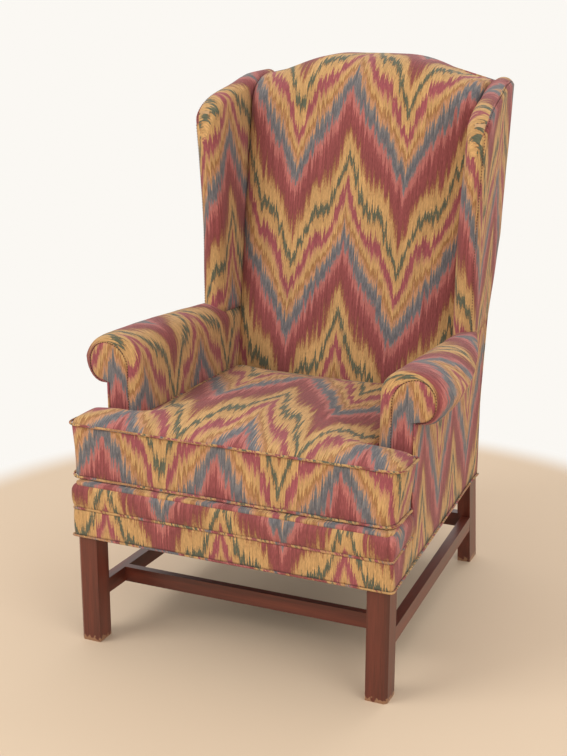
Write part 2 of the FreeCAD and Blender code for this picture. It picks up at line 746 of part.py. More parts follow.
BAND = size("band_thickness")
WELT = size("welt_radius")
band_top = size("rail_height") - WELT
PANEL_FRONT = ARM_FRONT - size("panel_lap")
CORNER = size("band_corner")
HEM = size("hem_radius")
rail_band = u_band(BAND, BAND, 0, band_top, PANEL_FRONT)
BORDER_LOW = size("rail_height") + WELT
feature("rail_band", rail_band)
feature("front_border", u_band(SKIN, SKIN, BORDER_LOW, DECK, PANEL_FRONT)
        .cut(deck_slab(size("rail_height"), DECK + SKIN)))
feature("rail_welt", cord(u_path(BAND - WELT * 0.4, PANEL_FRONT, size("rail_height"), CORNER), WELT)
        .cut(u_band(0, 2 * BAND, 0, size("deck_height"), ARM_FRONT)))
feature("hem_welt", cord(u_path(BAND + HEM, DEPTH, 0, CORNER), HEM).cut(rail_band))

# Back

BACK_HALF = size("back_half_width")
CREST = size("crest_height")
HEM_REAR = size("rail_bottom") - DEPTH * FALL


def back_rear(z):
    """Depth of the back posts' rear faces at a height."""
    return DEPTH + max(0.0, z - size("post_bend_height")) * size("back_lean")


def crest_top(x):
    """Serpentine crest: flat in the middle, falling in an easy curve to the wings."""
    flat = size("crest_flat_half")
    across_slope = min(1.0, max(0.0, (abs(x) - flat) / (BACK_HALF - flat)))
    return CREST - size("crest_drop") * (1 - math.cos(math.pi * across_slope ** 1.15)) / 2


def back_face(z, x):
    """Depth of the crowned inside back."""
    crown = size("back_crown") * (1 - (x / BACK_HALF) ** 2)
    return size("back_front_behind") + (z - size("back_reference_height")) * size("back_front_lean") - crown


def back_section(x, skin, rear_reach):
    """Outline of the back at one place across, drawn in by a cover's thickness."""
    top = crest_top(x) - skin
    low = size("back_bottom") - (rear_reach if skin else 0)
    roll = size("crest_roll")
    edge = size("crest_edge")
    start = back_face(top - roll, x) + skin
    knee = max(size("post_bend_height"), low + 1)
    slant = roll * (1 - math.sqrt(0.5))
    rear_low = back_rear(low) + rear_reach
    rear_knee = back_rear(knee) + rear_reach
    rear_top = back_rear(top - edge) + rear_reach
    bottom = vector(x, back_face(low, x) + skin, low)
    roll_start = vector(x, start, top - roll)
    roll_middle = vector(x, start + slant, top - slant)
    roll_end = vector(x, start + roll, top)
    flat_end = vector(x, rear_top - edge, top)
    edge_middle = vector(x, rear_top - edge * 0.3, top - edge * 0.3)
    edge_end = vector(x, rear_top, top - edge)
    knee_point = vector(x, rear_knee, knee)
    foot = vector(x, rear_low, low)
    return wire((bottom, roll_start), (roll_start, roll_middle, roll_end), (roll_end, flat_end),
                (flat_end, edge_middle, edge_end), (edge_end, knee_point), (knee_point, foot), (foot, bottom))


def back_form(skin=0.0, rear_reach=0.0):
    """The whole padded back between the wings."""
    steps = 8
    stations = [-BACK_HALF + 2 * BACK_HALF * i / steps for i in range(steps + 1)]
    return loft([back_section(x, skin, rear_reach) for x in stations])


back_outside = back_form()
back_inside = back_form(SKIN, PAST)
WEB_PLANE = POST_FACE - 2 * WEB_THICK


def behind_webbing():
    """The space of the posts, rails and webbing behind the back pad."""
    low, knee, high = size("rail_bottom"), size("post_bend_height"), CREST + PAST
    lean = (high - knee) * size("back_lean")
    points = [
        vector(-ROOM, WEB_PLANE, low),
        vector(-ROOM, WEB_PLANE, knee),
        vector(-ROOM, WEB_PLANE + lean, high),
        vector(-ROOM, DEPTH + ROOM + lean, high),
        vector(-ROOM, DEPTH + ROOM + lean, low),
    ]
    return prism(points, FreeCAD.Vector(2 * ROOM, 0, 0))


def crest_outline(margin, low):
    """Upright slab under the crest's curve, as deep as the whole chair."""
    half = BACK_HALF + PAST
    steps = 16
    stations = [half - 2 * half * i / steps for i in range(steps + 1)]
    top = [vector(x, 0, crest_top(x) - margin) for x in stations]
    points = [vector(-half, 0, low), vector(half, 0, low)] + top
    return prism(points, FreeCAD.Vector(0, DEPTH + ROOM, 0))


cavity = behind_webbing().common(crest_outline(size("crest_padding"), size("rail_bottom")))
back_pad = back_inside.common(back_outside).cut(cavity)
feature("back_pad", back_pad)
feature("inside_back_cover", back_outside.cut(back_inside))


BETWEEN_POSTS = size("rear_half_width") - size("post_thickness")
CREST_RAIL_LOW = CREST - size("crest_drop") - size("crest_padding") - size("crest_rail_height")
TACK_LOW = size("back_bottom") + size("back_tack_lift")


def leaning(behind, z):
    """A depth moved back with the lean of the posts at a height."""
    return behind + max(0.0, z - size("post_bend_height")) * size("back_lean")


def crest_rail():
    """Serpentine rail between the posts, behind the top of the webbing."""
    slab = crest_outline(size("crest_padding"), CREST_RAIL_LOW)
    points = [vector(-BETWEEN_POSTS, leaning(behind, z), z)
              for behind, z in ((POST_FACE, CREST_RAIL_LOW), (POST_FACE, CREST),
                                (POST_FACE + size("crest_wood"), CREST),
                                (POST_FACE + size("crest_wood"), CREST_RAIL_LOW))]
    return slab.common(prism(points, FreeCAD.Vector(2 * BETWEEN_POSTS, 0, 0)))


def back_tack_rail():
    """Lower rail between the posts, for the bottom of the webbing."""
    return Part.makeBox(2 * BETWEEN_POSTS, size("rail_thickness"), size("tack_rail_height"),
                        vector(-BETWEEN_POSTS, POST_FACE, TACK_LOW))


def ribbon_behind(front, heights, low_x, high_x):
    """A strip of webbing in front of the posts, leaning with them."""
    line = [(leaning(front, z), z) for z in heights]
    outline = [vector(low_x, y, z) for y, z in line]
    outline += [vector(low_x, y + WEB_THICK, z) for y, z in reversed(line)]
    return prism(outline, FreeCAD.Vector(high_x - low_x, 0, 0))


def back_webbing():
    """Crossed strips in front of the posts and rails."""
    upright = []
    for column in (-2, -1, 0, 1, 2):
        x = column * size("back_web_pitch")
        heights = (TACK_LOW, size("post_bend_height"), CREST_RAIL_LOW + size("web_lap"))
        upright.append(ribbon_behind(POST_FACE - WEB_THICK, heights, x - WEB / 2, x + WEB / 2))
    level = []
    for row in range(4):
        z = size("back_web_low") + row * size("back_web_rise")
        half = BETWEEN_POSTS + size("post_thickness") / 2
        level.append(ribbon_behind(WEB_PLANE, (z, z + WEB), -half, half))
    return Part.makeCompound(upright + level)


def outside_back():
    """Plain panel over the posts, from the hem to the crest."""
    low = HEM_REAR
    knee = size("post_bend_height")
    ribbon = [vector(-ROOM, leaning(DEPTH, z), z) for z in (low, knee, CREST)]
    ribbon += [vector(-ROOM, leaning(DEPTH + SKIN, z), z) for z in (CREST, knee, low)]
    foot_half = half_width(DEPTH) + BAND
    top_half = size("wing_rear_centre") + size("wing_half_thickness")
    edge = size("crest_edge")
    steps = 16
    stations = [BACK_HALF - 2 * BACK_HALF * i / steps for i in range(steps + 1)]
    shoulder = crest_top(BACK_HALF) - edge
    corners = [(-foot_half, low), (foot_half, low), (foot_half, size("wing_bottom")), (top_half, shoulder)]
    corners += [(x, crest_top(x) - edge) for x in stations]
    corners += [(-top_half, shoulder), (-foot_half, size("wing_bottom"))]
    outline = prism([vector(x, 0, z) for x, z in corners], FreeCAD.Vector(0, DEPTH + ROOM, 0))
    return prism(ribbon, FreeCAD.Vector(2 * ROOM, 0, 0)).common(outline)


feature("crest_rail", crest_rail())
feature("back_tack_rail", back_tack_rail())
back_web = feature("back_webbing", back_webbing())
feature("outside_back_cover", outside_back())


# Outside arm panels

NOSE = size("wing_nose_behind")
ROLL_END = NOSE + size("roll_run_under")


def along_arm(behind):
    """How far back along the arm a depth lies: 0 at its front, 1 under the wing's nose."""
    return min(1.0, max(0.0, (behind - ARM_FRONT) / (ROLL_END - ARM_FRONT)))


def under_roll(behind):
    """Height of the roll's underside, which climbs as the roll dies into the wing."""
    return size("panel_top_front") + (size("panel_top_rear") - size("panel_top_front")) * along_arm(behind) ** 1.9


def outside_arm():
    """Right outside arm panel, over the side rail and the post up to the roll."""
    post_half = half_width(POST_FACE)
    plan = [(half_width(PANEL_FRONT), PANEL_FRONT), (post_half, POST_FACE), (post_half, DEPTH + ROOM),
            (post_half + BAND, DEPTH + ROOM), (post_half + BAND, POST_FACE),
            (half_width(PANEL_FRONT) + BAND, PANEL_FRONT)]
    slab = prism([vector(x, y, 0) for x, y in plan], FreeCAD.Vector(0, 0, CREST))
    shoulder = size("panel_top_rear")
    steps = 8
    stations = [ROLL_END + (PANEL_FRONT - ROLL_END) * i / steps for i in range(steps + 1)]
    side_view = [(PANEL_FRONT, size("rail_bottom") - PANEL_FRONT * FALL), (DEPTH, HEM_REAR)]
    side_view += [(leaning(DEPTH, z), z) for z in (size("post_bend_height"), shoulder)]
    side_view += [(behind, under_roll(behind)) for behind in stations]
    return slab.common(prism([vector(0, y, z) for y, z in side_view], FreeCAD.Vector(ROOM, 0, 0)))


outside_panel = outside_arm()

# Arms

ARM_BOTTOM = size("arm_bottom")
INNER_FACE = size("arm_inner_half")
SHOULDER = size("arm_shoulder")


def eighth(radius):
    """How far an eighth turn of an arc falls away from its tangent."""
    return radius * (1 - math.sqrt(0.5))


def arm_section(behind, skin, rounding, open_by):
    """Outline of the right arm at a depth: upright inside, round top, roll over the outside."""
    back_share = along_arm(behind)
    edge = size("arm_edge_round")
    top = size("arm_top_front") + (size("arm_top_rear") - size("arm_top_front")) * back_share
    top -= skin + rounding * edge
    inner = INNER_FACE + skin + rounding * size("arm_inner_round")
    reach = size("arm_roll_half") + (size("arm_roll_rear_half") - size("arm_roll_half")) * back_share ** 1.6
    reach -= skin + rounding * size("arm_outer_round")
    low = ARM_BOTTOM - open_by
    underside = under_roll(behind) + skin
    waist = underside + (top - underside) * 0.48
    crown = inner + SHOULDER
    foot = vector(inner, behind, low)
    rise = vector(inner, behind, top - SHOULDER)
    shoulder = vector(inner + eighth(SHOULDER), behind, top - eighth(SHOULDER))
    crest = vector(crown, behind, top)
    brow = vector(reach - eighth(reach - crown), behind, top - eighth(top - waist))
    side = vector(reach, behind, waist)
    tuck_x = half_width(behind) + (BAND + open_by) / 2
    cheek = vector(reach - (reach - tuck_x) * 0.25, behind, underside + (waist - underside) * 0.28)
    tuck = vector(tuck_x, behind, underside)
    heel = vector(half_width(behind) + open_by / 4, behind, low)
    return wire((foot, rise), (rise, shoulder, crest), (crest, brow, side), (side, cheek, tuck),
                (tuck, heel), (heel, foot))


def arm_form(skin=0.0, open_by=0.0):
    """The padded right arm, its front edge rounded over."""
    edge = size("arm_edge_round")
    rounds = [(ARM_FRONT + edge * (1 - math.cos(turn)), 1 - math.sin(turn))
              for turn in (math.radians(step * 15) for step in range(7))]
    steps = 10
    straight = [ARM_FRONT + edge + (POST_FACE - ARM_FRONT - edge) * step / steps for step in range(1, steps)]
    stations = rounds + [(behind, 0.0) for behind in straight] + [(POST_FACE + open_by, 0.0)]
    if open_by:
        stations.insert(0, (ARM_FRONT - open_by / 4, 1.0))
    return loft([arm_section(behind, skin, rounding, open_by) for behind, rounding in stations], ruled=True)


arm_outside = arm_form()
arm_inside = arm_form(SKIN, PAST)
WOOD = "arm_wood"
SCROLL_FRONT = "(arm_behind + arm_front_padding)"
SCROLL_REAR = f"({SCROLL_FRONT} + arm_board_thickness)"
ARM_POST_REAR = f"({SCROLL_REAR} + arm_post_depth)"
ARM_RAIL_REAR = f"({POST_FRONT} + back_lean * (arm_top_rear - post_bend_height))"
ARM_RAIL_LOW = "(arm_top_front - arm_rail_below_top)"
ARM_RAIL_LOW_REAR = "(arm_top_rear - arm_rail_below_top)"
BOARD_OUTER_REAR = "(rear_half_width - panel_gap)"


def scroll_board():
    """Board that shapes the front of the right arm, standing on the side rail."""
    front = ARM_FRONT + size("arm_front_padding")
    margin = size("arm_board_margin")
    thickness = size("arm_board_thickness")
    head = Part.Face(arm_section(front, margin, 0.0, 0.0)).extrude(FreeCAD.Vector(0, thickness, 0))
    low = size("rail_bottom")
    inner = INNER_FACE + margin
    foot = Part.makeBox(half_width(front + thickness) - inner, thickness, ARM_BOTTOM - low,
                        vector(inner, front, low))
    return head.fuse(foot).removeSplitter().cut([outside_panel, trapezoid(0, DEPTH, 0, 0, size("rail_height"))])


def across_board(side, inner, outside, low, high):
    """Section of a board that stands across the chair."""
    return rectangle(signed(side, inner), signed(side, outside), low, high)


def arm_boards(side):
    """Arm post, arm rail and tack rail of one side."""
    post_outer = f"({outer(ARM_POST_REAR)} - panel_gap)"
    edges = (post_outer, f"{post_outer} - {WOOD}") if side < 0 else (f"{post_outer} - {WOOD}", post_outer)
    post = box(signed(side, edges[0]), signed(side, edges[1]), SCROLL_REAR, ARM_POST_REAR,
               fallen(ARM_POST_REAR, "rail_height"), ARM_RAIL_LOW)
    near = across_board(side, "arm_inner_half + arm_rail_inset", f"arm_inner_half + arm_rail_inset + {WOOD}",
                        ARM_RAIL_LOW, f"{ARM_RAIL_LOW} + {WOOD}")
    far = across_board(side, f"{BOARD_OUTER_REAR} - {WOOD}", BOARD_OUTER_REAR,
                       ARM_RAIL_LOW_REAR, f"{ARM_RAIL_LOW_REAR} + {WOOD}")
    rail = tapered_board("XZ_Plane", f"-(front_face_y + {SCROLL_REAR})", near,
                         f"-(front_face_y + {ARM_RAIL_REAR})", far)
    tack_low = fallen(ARM_POST_REAR, "rail_height + tack_rail_lift")
    tack_far = fallen(POST_FRONT, "rail_height + tack_rail_lift")
    near = across_board(side, "arm_inner_half + tack_rail_inset", f"arm_inner_half + tack_rail_inset + {WOOD}",
                        tack_low, f"{tack_low} + tack_rail_height")
    far = across_board(side, f"{BOARD_OUTER_REAR} - {WOOD}", BOARD_OUTER_REAR,
                       tack_far, f"{tack_far} + tack_rail_height")
    tack = tapered_board("XZ_Plane", f"-(front_face_y + {ARM_POST_REAR})", near,
                         f"-(front_face_y + {POST_FRONT})", far)
    return post, rail, tack


WING_POST_FRONT = "(wing_nose_behind + wing_padding)"
WING_POST_REAR = f"({WING_POST_FRONT} + wing_post_depth)"
WING_POST_TOP = "(wing_top_height - wing_top_padding)"


def wing_boards(side):
    """Wing post leaning outward on the arm rail, and the rail from its top to the back post."""
    half = "wing_board / 2"
    foot_outer = f"({outer(WING_POST_REAR)} - 2 * panel_gap)"
    top_centre = "(wing_nose_top_centre - wing_post_inset)"
    span = (f"front_face_y + {WING_POST_FRONT}", f"front_face_y + {WING_POST_REAR}")
    foot = rectangle(signed(side, f"{foot_outer} - wing_board"), signed(side, foot_outer), *span)
    head = rectangle(signed(side, f"{top_centre} - {half}"), signed(side, f"{top_centre} + {half}"), *span)
    post = tapered_board("XY_Plane", ARM_RAIL_LOW_REAR, foot, WING_POST_TOP, head)
    near = across_board(side, f"{top_centre} - {half}", f"{top_centre} + {half}",
                        f"{WING_POST_TOP} - wing_rail_height", WING_POST_TOP)
    far = across_board(side, f"{BOARD_OUTER_REAR} - wing_board", BOARD_OUTER_REAR,
                       f"{WING_POST_TOP} + wing_rail_rise - wing_rail_height", f"{WING_POST_TOP} + wing_rail_rise")
    rear = f"({POST_FRONT} + back_lean * (wing_top_height - post_bend_height))"
    rail = tapered_board("XZ_Plane", f"-(front_face_y + {WING_POST_REAR})", near, f"-(front_face_y + {rear})", far)
    return post, rail


def part_named(label):
    """The sub-part with a label."""
    return next(part for part in parts if part.Label == label)


doc.recompute()
side_boards = {}
for name, side in SIDES:
    post, rail, tack = arm_boards(side)
    wing_post, wing_rail = wing_boards(side)
    upright = part_named(f"back_post_{name}")
    less(f"arm_rail_{name}", rail, [upright])
    less(f"wing_post_{name}", wing_post, [rail])
    side_boards[name] = [cut_away(post, [rail, part_named(f"side_seat_rail_{name}")]), tack,
                         cut_away(wing_rail, [upright, wing_post])]
for order, label in enumerate(("arm_posts", "arm_tack_rails", "wing_rails")):
    group(label, [side_boards[name][order] for name, side in SIDES])
doc.recompute()

# Wings, each station a depth behind the nose and how far its top lies below the wing's highest point

WING_TOP_LINE = ((1, 133), (5, 110), (12, 90), (22, 73), (41, 57), (86, 38), (163, 21), (232, 4), (330, 0))
WING_HALF = size("wing_half_thickness")


def wing_centres(behind):
    """Middle of the wing at its foot, its waist and its top, at a depth."""
    lean = (behind - NOSE) / (back_rear(size("wing_top_height")) - NOSE)
    nose_x = size("wing_nose_centre")
    top_x = size("wing_nose_top_centre")
    rear_x = size("wing_rear_centre")
    flush_x = half_width(DEPTH) + BAND - WING_HALF
    return nose_x + (flush_x - nose_x) * lean, nose_x + (rear_x - nose_x) * lean, top_x + (rear_x - top_x) * lean


def wing_section(back, drop, skin, open_by):
    """Upright outline of the right wing at a depth behind its nose, rounded over the top."""
    behind = NOSE + back
    into = min(1.0, back / size("wing_nose_round"))
    half = WING_HALF * math.sqrt(1 - (1 - into) ** 2) - skin
    top = size("wing_top_height") - drop - skin
    foot_x, waist_x, high_x = wing_centres(behind)
    low = size("wing_bottom") - open_by
    waist = size("wing_waist_height")
    shoulder = top - half * 0.55
    inner = [vector(x - half, behind, z) for x, z in ((foot_x, low), (waist_x, waist), (high_x, shoulder))]
    outward = [vector(x + half, behind, z) for x, z in ((high_x, shoulder), (waist_x, waist), (foot_x, low))]
    return wire(inner[:2], inner[1:], (inner[2], vector(high_x, behind, top), outward[0]),
                outward[:2], outward[1:], (outward[2], inner[0]))


def before_back(reach):
    """The space in front of the outside back."""
    heights = (0.0, size("post_bend_height"), CREST + PAST)
    points = [vector(-ROOM, leaning(DEPTH + reach, z), z) for z in heights]
    points += [vector(-ROOM, -ROOM, heights[2]), vector(-ROOM, -ROOM, 0)]
    return prism(points, FreeCAD.Vector(2 * ROOM, 0, 0))


def wing_form(skin=0.0, open_by=0.0):
    """The padded right wing, from its round nose to the outside back."""
    line = WING_TOP_LINE if not skin else [(back + skin, drop) for back, drop in WING_TOP_LINE[1:]]
    form = loft([wing_section(back, drop, skin, open_by) for back, drop in line], ruled=True)
    return form.common(before_back(open_by))


def wing_outer_side():
    """The space outside the seam that runs down the wing behind its nose."""
    near = NOSE - PAST
    far = back_rear(CREST) + PAST
    sections = []
    for near_x, far_x, z in zip(wing_centres(near), wing_centres(far),
                                (size("wing_bottom") - PAST, size("wing_waist_height"), CREST)):
        out = size("wing_seam_out")
        sections.append(polygon([vector(near_x + out, near, z), vector(far_x + out, far, z),
                                 vector(ROOM, far, z), vector(ROOM, near, z)]))
    return loft(sections, ruled=True)


def main_solid(shape):
    """The largest solid of a cut shape, without its slivers."""
    return max(shape.Solids, key=lambda solid: solid.Volume)


wing_outside = wing_form()
wing_inside = wing_form(SKIN, PAST)

right_boards = [part_named(label).Shape for label in ("back_post_right", "side_seat_rail_right",
                                                     "arm_rail_right", "wing_post_right")]
right_boards += [board.Shape for board in side_boards["right"]]
right_boards += [part_named("crest_rail").Shape, back_web.Shape]
arm_cover = main_solid(arm_outside.cut([arm_inside, back_outside, outside_panel] + right_boards))
scroll = scroll_board().cut([arm_cover] + right_boards)
arm_pad = main_solid(arm_inside.common(arm_outside).cut([back_outside, outside_panel, scroll] + right_boards))
front_face = Part.Face(arm_section(ARM_FRONT, 0.0, 1.0, 0.0))
front_panel = front_face.extrude(FreeCAD.Vector(0, -SKIN, 0)).cut(outside_panel)
wing_neighbours = [back_outside, arm_outside, outside_panel] + right_boards
wing_shell = wing_outside.cut([wing_inside] + wing_neighbours)
wing_pad = main_solid(wing_inside.common(wing_outside).cut(wing_neighbours))
wing_outer = wing_outer_side()
wing_cover = main_solid(wing_shell.cut(wing_outer))
outside_wing = main_solid(wing_shell.common(wing_outer))

for label, shape in (("arm_scroll_board", scroll), ("arm_pad", arm_pad), ("inside_arm_cover", arm_cover),
                     ("arm_front_panel", front_panel), ("outside_arm_cover", outside_panel),
                     ("wing_pad", wing_pad), ("inside_wing_cover", wing_cover),
                     ("outside_wing_cover", outside_wing)):
    feature(f"{label}_right", shape)
    feature(f"{label}_left", mirrored(shape))

# Loose cushion: T-shaped, with drawn-in boxing and a crowned top

CUSHION_BASE = size("rail_bottom") + DECK + SKIN + size("cushion_lift")
LOWER_WELT = CUSHION_BASE + size("cushion_belly")
UPPER_WELT = LOWER_WELT + size("boxing_height")
BULGE = size("boxing_bulge")
NECK = size("arm_inner_half") - size("neck_gap")
EAR = size("ear_half_width")
EAR_REAR = FRONT + ARM_FRONT - SKIN - size("ear_gap")
CUSHION_FRONT = FRONT + size("cushion_front_behind")
CUSHION_REAR = FRONT + size("cushion_rear_behind")
CUSHION_CORNERS = [(-EAR, CUSHION_FRONT), (EAR, CUSHION_FRONT), (EAR, EAR_REAR), (NECK, EAR_REAR),
                   (NECK, CUSHION_REAR), (-NECK, CUSHION_REAR), (-NECK, EAR_REAR), (-EAR, EAR_REAR)]
ROUND = size("corner_round")
EAR_ROUND = size("ear_round")
NECK_ROUND = size("neck_round")
CUSHION_RADII = [ROUND, ROUND, EAR_ROUND, NECK_ROUND, ROUND, ROUND, NECK_ROUND, EAR_ROUND]
CORD_ROOM = WELT + size("cord_gap")


def cushion_loop(inset, z):
    """The cushion's T-shaped outline at one height."""
    return rounded_loop(CUSHION_CORNERS, CUSHION_RADII, inset, z)


def cushion_crown(skin):
    """A space whose roof is the cushion's crowned top."""
    margin = 3 * BULGE
    reach = EAR + margin
    middle = (CUSHION_FRONT + CUSHION_REAR) / 2
    half = (CUSHION_REAR - CUSHION_FRONT) / 2 + margin
    base = UPPER_WELT - size("boxing_height") / 2
    edge = UPPER_WELT - skin
    sections = []
    steps = 8
    for i in range(steps + 1):
        x = -reach + 2 * reach * i / steps
        rise = 1 + size("cushion_crown") * (1 - (x / reach) ** 2)
        front_foot, front, crest, rear, rear_foot = (
            FreeCAD.Vector(x, middle + across * half, z)
            for across, z in ((-1, base), (-1, edge), (0, edge + rise), (1, edge), (1, base)))
        sections.append(wire((front_foot, front), (front, crest, rear), (rear, rear_foot), (rear_foot, front_foot)))
    return loft(sections)


def cushion_form(skin=0.0):
    """The whole cushion, or the core inside its cover."""
    middle = (LOWER_WELT + UPPER_WELT) / 2
    quarter = size("boxing_height") / 4
    levels = [(CUSHION_BASE + skin, size("belly_inset")), (LOWER_WELT - CORD_ROOM, BULGE),
              (LOWER_WELT + CORD_ROOM, BULGE), (middle - quarter, BULGE / 4), (middle, 0),
              (middle + quarter, BULGE / 4), (UPPER_WELT - CORD_ROOM, BULGE), (UPPER_WELT - WELT / 2, BULGE)]
    boxing = loft([cushion_loop(inset + skin, z) for z, inset in levels], ruled=True)
    top_face = Part.Face(cushion_loop(BULGE + skin, UPPER_WELT - WELT / 2))
    top = top_face.extrude(FreeCAD.Vector(0, 0, 2 * size("cushion_crown"))).common(cushion_crown(skin))
    return boxing.fuse(top).removeSplitter()


def laid(shape):
    """Lay a level cushion piece where the cushion lies on the falling seat."""
    moved = shape.copy()
    moved.translate(FreeCAD.Vector(size("cushion_shift"), 0, 0))
    return fell(moved, CUSHION_BASE)


cushion_outside = cushion_form()
cushion_inside = cushion_form(SKIN)
welts = [cord(cushion_loop(BULGE - WELT, z), WELT).cut(cushion_outside) for z in (LOWER_WELT, UPPER_WELT)]

# Zip in the middle of the rear boxing, closed: the slider waits at its left end

ZIP_MIDDLE = (LOWER_WELT + UPPER_WELT) / 2
ZIP_LENGTH = size("zip_length")
ZIP_WIDTH = size("zip_width")
ZIP_THICK = size("zip_thickness")
SLIDER = size("slider_width")
SLIDER_HEIGHT = size("slider_height")
SLIDER_THICK = size("slider_thickness")
PULL = size("pull_length")
PULL_THICK = SLIDER_THICK / 3
SLIDER_X = -ZIP_LENGTH / 2 + size("zip_end")
SLIDER_Y = CUSHION_REAR + ZIP_THICK + size("slider_gap")


def zip_slider():
    """Slider body with its hanging pull."""
    corner = FreeCAD.Vector(SLIDER_X, SLIDER_Y, ZIP_MIDDLE - SLIDER_HEIGHT / 2)
    body = Part.makeBox(SLIDER, SLIDER_THICK, SLIDER_HEIGHT, corner)
    body = body.makeFillet(PULL_THICK, body.Edges)
    pull_corner = FreeCAD.Vector(SLIDER_X + SLIDER / 4, SLIDER_Y + PULL_THICK, ZIP_MIDDLE - PULL)
    return body.fuse(Part.makeBox(SLIDER / 2, PULL_THICK, PULL, pull_corner))


zip_tape = Part.makeBox(ZIP_LENGTH, ZIP_THICK, ZIP_WIDTH,
                        FreeCAD.Vector(-ZIP_LENGTH / 2, CUSHION_REAR, ZIP_MIDDLE - ZIP_WIDTH / 2))
feature("cushion_core", laid(cushion_inside))
feature("cushion_cover", laid(cushion_outside.cut(cushion_inside)))
feature("cushion_welts", laid(Part.makeCompound(welts)))
feature("cushion_zip_tape", laid(zip_tape))
feature("cushion_zip_slider", laid(zip_slider()))

doc.recompute()

# Checks, then one file for each piece

faults = [thing.Label for thing in doc.Objects if {"Invalid", "Error"} & set(thing.State)]
faults += [part.Label for part in parts if part.Shape.isNull() or not part.Shape.isValid()]
if faults:
    raise SystemExit("Failed: " + ", ".join(faults))
os.makedirs("parts", exist_ok=True)
for part in parts:
    part.Shape.exportStep(f"parts/{part.Label}.step")
print(len(parts), "pieces written")
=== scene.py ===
"""Wingback armchair: flame-stitch upholstery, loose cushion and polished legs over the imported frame."""

import json
import logging
import math
from dataclasses import dataclass
from enum import Enum
from typing import Callable, Optional, Sequence

import bmesh
import bpy
import numpy as np
from mathutils import Matrix, Vector, noise

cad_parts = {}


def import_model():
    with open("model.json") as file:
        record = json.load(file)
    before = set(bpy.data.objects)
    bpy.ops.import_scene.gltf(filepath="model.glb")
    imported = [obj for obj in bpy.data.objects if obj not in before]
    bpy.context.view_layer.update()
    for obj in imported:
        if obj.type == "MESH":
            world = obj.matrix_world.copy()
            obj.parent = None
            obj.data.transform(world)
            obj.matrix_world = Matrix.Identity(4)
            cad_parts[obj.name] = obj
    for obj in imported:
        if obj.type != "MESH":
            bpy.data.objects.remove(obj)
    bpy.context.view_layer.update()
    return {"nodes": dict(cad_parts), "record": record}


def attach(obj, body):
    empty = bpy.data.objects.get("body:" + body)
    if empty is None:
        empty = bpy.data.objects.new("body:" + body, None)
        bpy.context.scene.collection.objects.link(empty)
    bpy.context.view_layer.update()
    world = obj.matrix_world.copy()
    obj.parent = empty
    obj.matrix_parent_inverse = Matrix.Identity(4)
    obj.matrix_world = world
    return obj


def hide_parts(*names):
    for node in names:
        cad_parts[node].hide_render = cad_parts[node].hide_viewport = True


LOG = logging.getLogger("armchair")
MM = 0.001
TINY = 1e-9
FAR = 1e9
NEARLY_STRAIGHT = 1e-6
CORNER_STEPS = 8
SMALLEST_RADIUS = 0.5
BEND_STEP_DEGREES = 12

Pair = tuple[float, float]
Colour = tuple[float, float, float]
LayCloth = Callable[[int, int, int], Pair]


class Side(Enum):
    """The two sides of the chair, by the sign of X."""

    LEFT = -1
    RIGHT = 1

    @property
    def word(self) -> str:
        """The side's word in node names."""
        return self.name.lower()


class Grain(Enum):
    """Which way the grain of a board runs."""

    ALONG_X = (0.05, 1.0, 1.0)
    ALONG_Y = (1.0, 0.05, 1.0)
    ALONG_Z = (1.0, 1.0, 0.05)


@dataclass(frozen=True)
class ChairLines:
    """Sizes shared by frame and upholstery, in millimetres; depths lie behind the front legs' faces."""

    front_y: float = -424.15
    leg: float = 44.5
    front_half: float = 339.0
    rear_half: float = 298.0
    depth: float = 720.0
    post_face: float = 672.0
    hem: float = 237.0
    rail_height: float = 60.0
    deck: float = 114.0
    fall: float = 0.0262
    bend_height: float = 400.0
    lean: float = 0.178
    arm_front: float = 136.0
    wing_nose: float = 548.0
    wing_bottom: float = 594.0
    band: float = 3.5
    skin: float = 2.5

    def half_width(self, behind: float) -> float:
        """Half width over the frame's sides at a depth."""
        taper = (self.front_half - self.rear_half) / (self.post_face - self.leg)
        return self.front_half - (min(behind, self.post_face) - self.leg) * taper

    def leaning(self, behind: float, z: float) -> float:
        """A depth moved back with the lean of the posts at a height."""
        return behind + max(0.0, z - self.bend_height) * self.lean

    def over_hem(self, level: float, behind: float) -> float:
        """Height of a level over the rails' underside, which falls to the rear."""
        return self.hem + level - behind * self.fall

    def spot(self, x: float, behind: float, z: float) -> Vector:
        """A point of the chair in metres."""
        return Vector((x, self.front_y + behind, z)) * MM


LINES = ChairLines()


def clear_selection() -> None:
    """Deselect everything, because operators act on all that is selected."""
    bpy.ops.object.select_all(action="DESELECT")


def pick(obj: bpy.types.Object) -> None:
    """Select one object and make it active.

    Args:
        obj: The object.
    """
    clear_selection()
    obj.select_set(True)
    bpy.context.view_layer.objects.active = obj


def smooth_value(table: Sequence[Pair], x: float) -> float:
    """A smooth curve through a table of points, without overshoot.

    Args:
        table: Points in rising order of their first number.
        x: Where the curve is read.

    Returns:
        The curve's value there.
    """
    xs = [p[0] for p in table]
    ys = [p[1] for p in table]
    if x <= xs[0]:
        return ys[0]
    if x >= xs[-1]:
        return ys[-1]
    slopes = [(ys[i + 1] - ys[i]) / (xs[i + 1] - xs[i]) for i in range(len(xs) - 1)]
    tangents = [slopes[0]]
    for before, after in zip(slopes, slopes[1:]):
        tangents.append(0.0 if before * after <= 0 else 2 * before * after / (before + after))
    tangents.append(slopes[-1])
    i = max(k for k in range(len(xs) - 1) if xs[k] <= x)
    step = xs[i + 1] - xs[i]
    t = (x - xs[i]) / step
    return (ys[i] * (1 + 2 * t) * (1 - t) ** 2 + tangents[i] * step * t * (1 - t) ** 2
            + ys[i + 1] * t * t * (3 - 2 * t) + tangents[i + 1] * step * t * t * (t - 1))


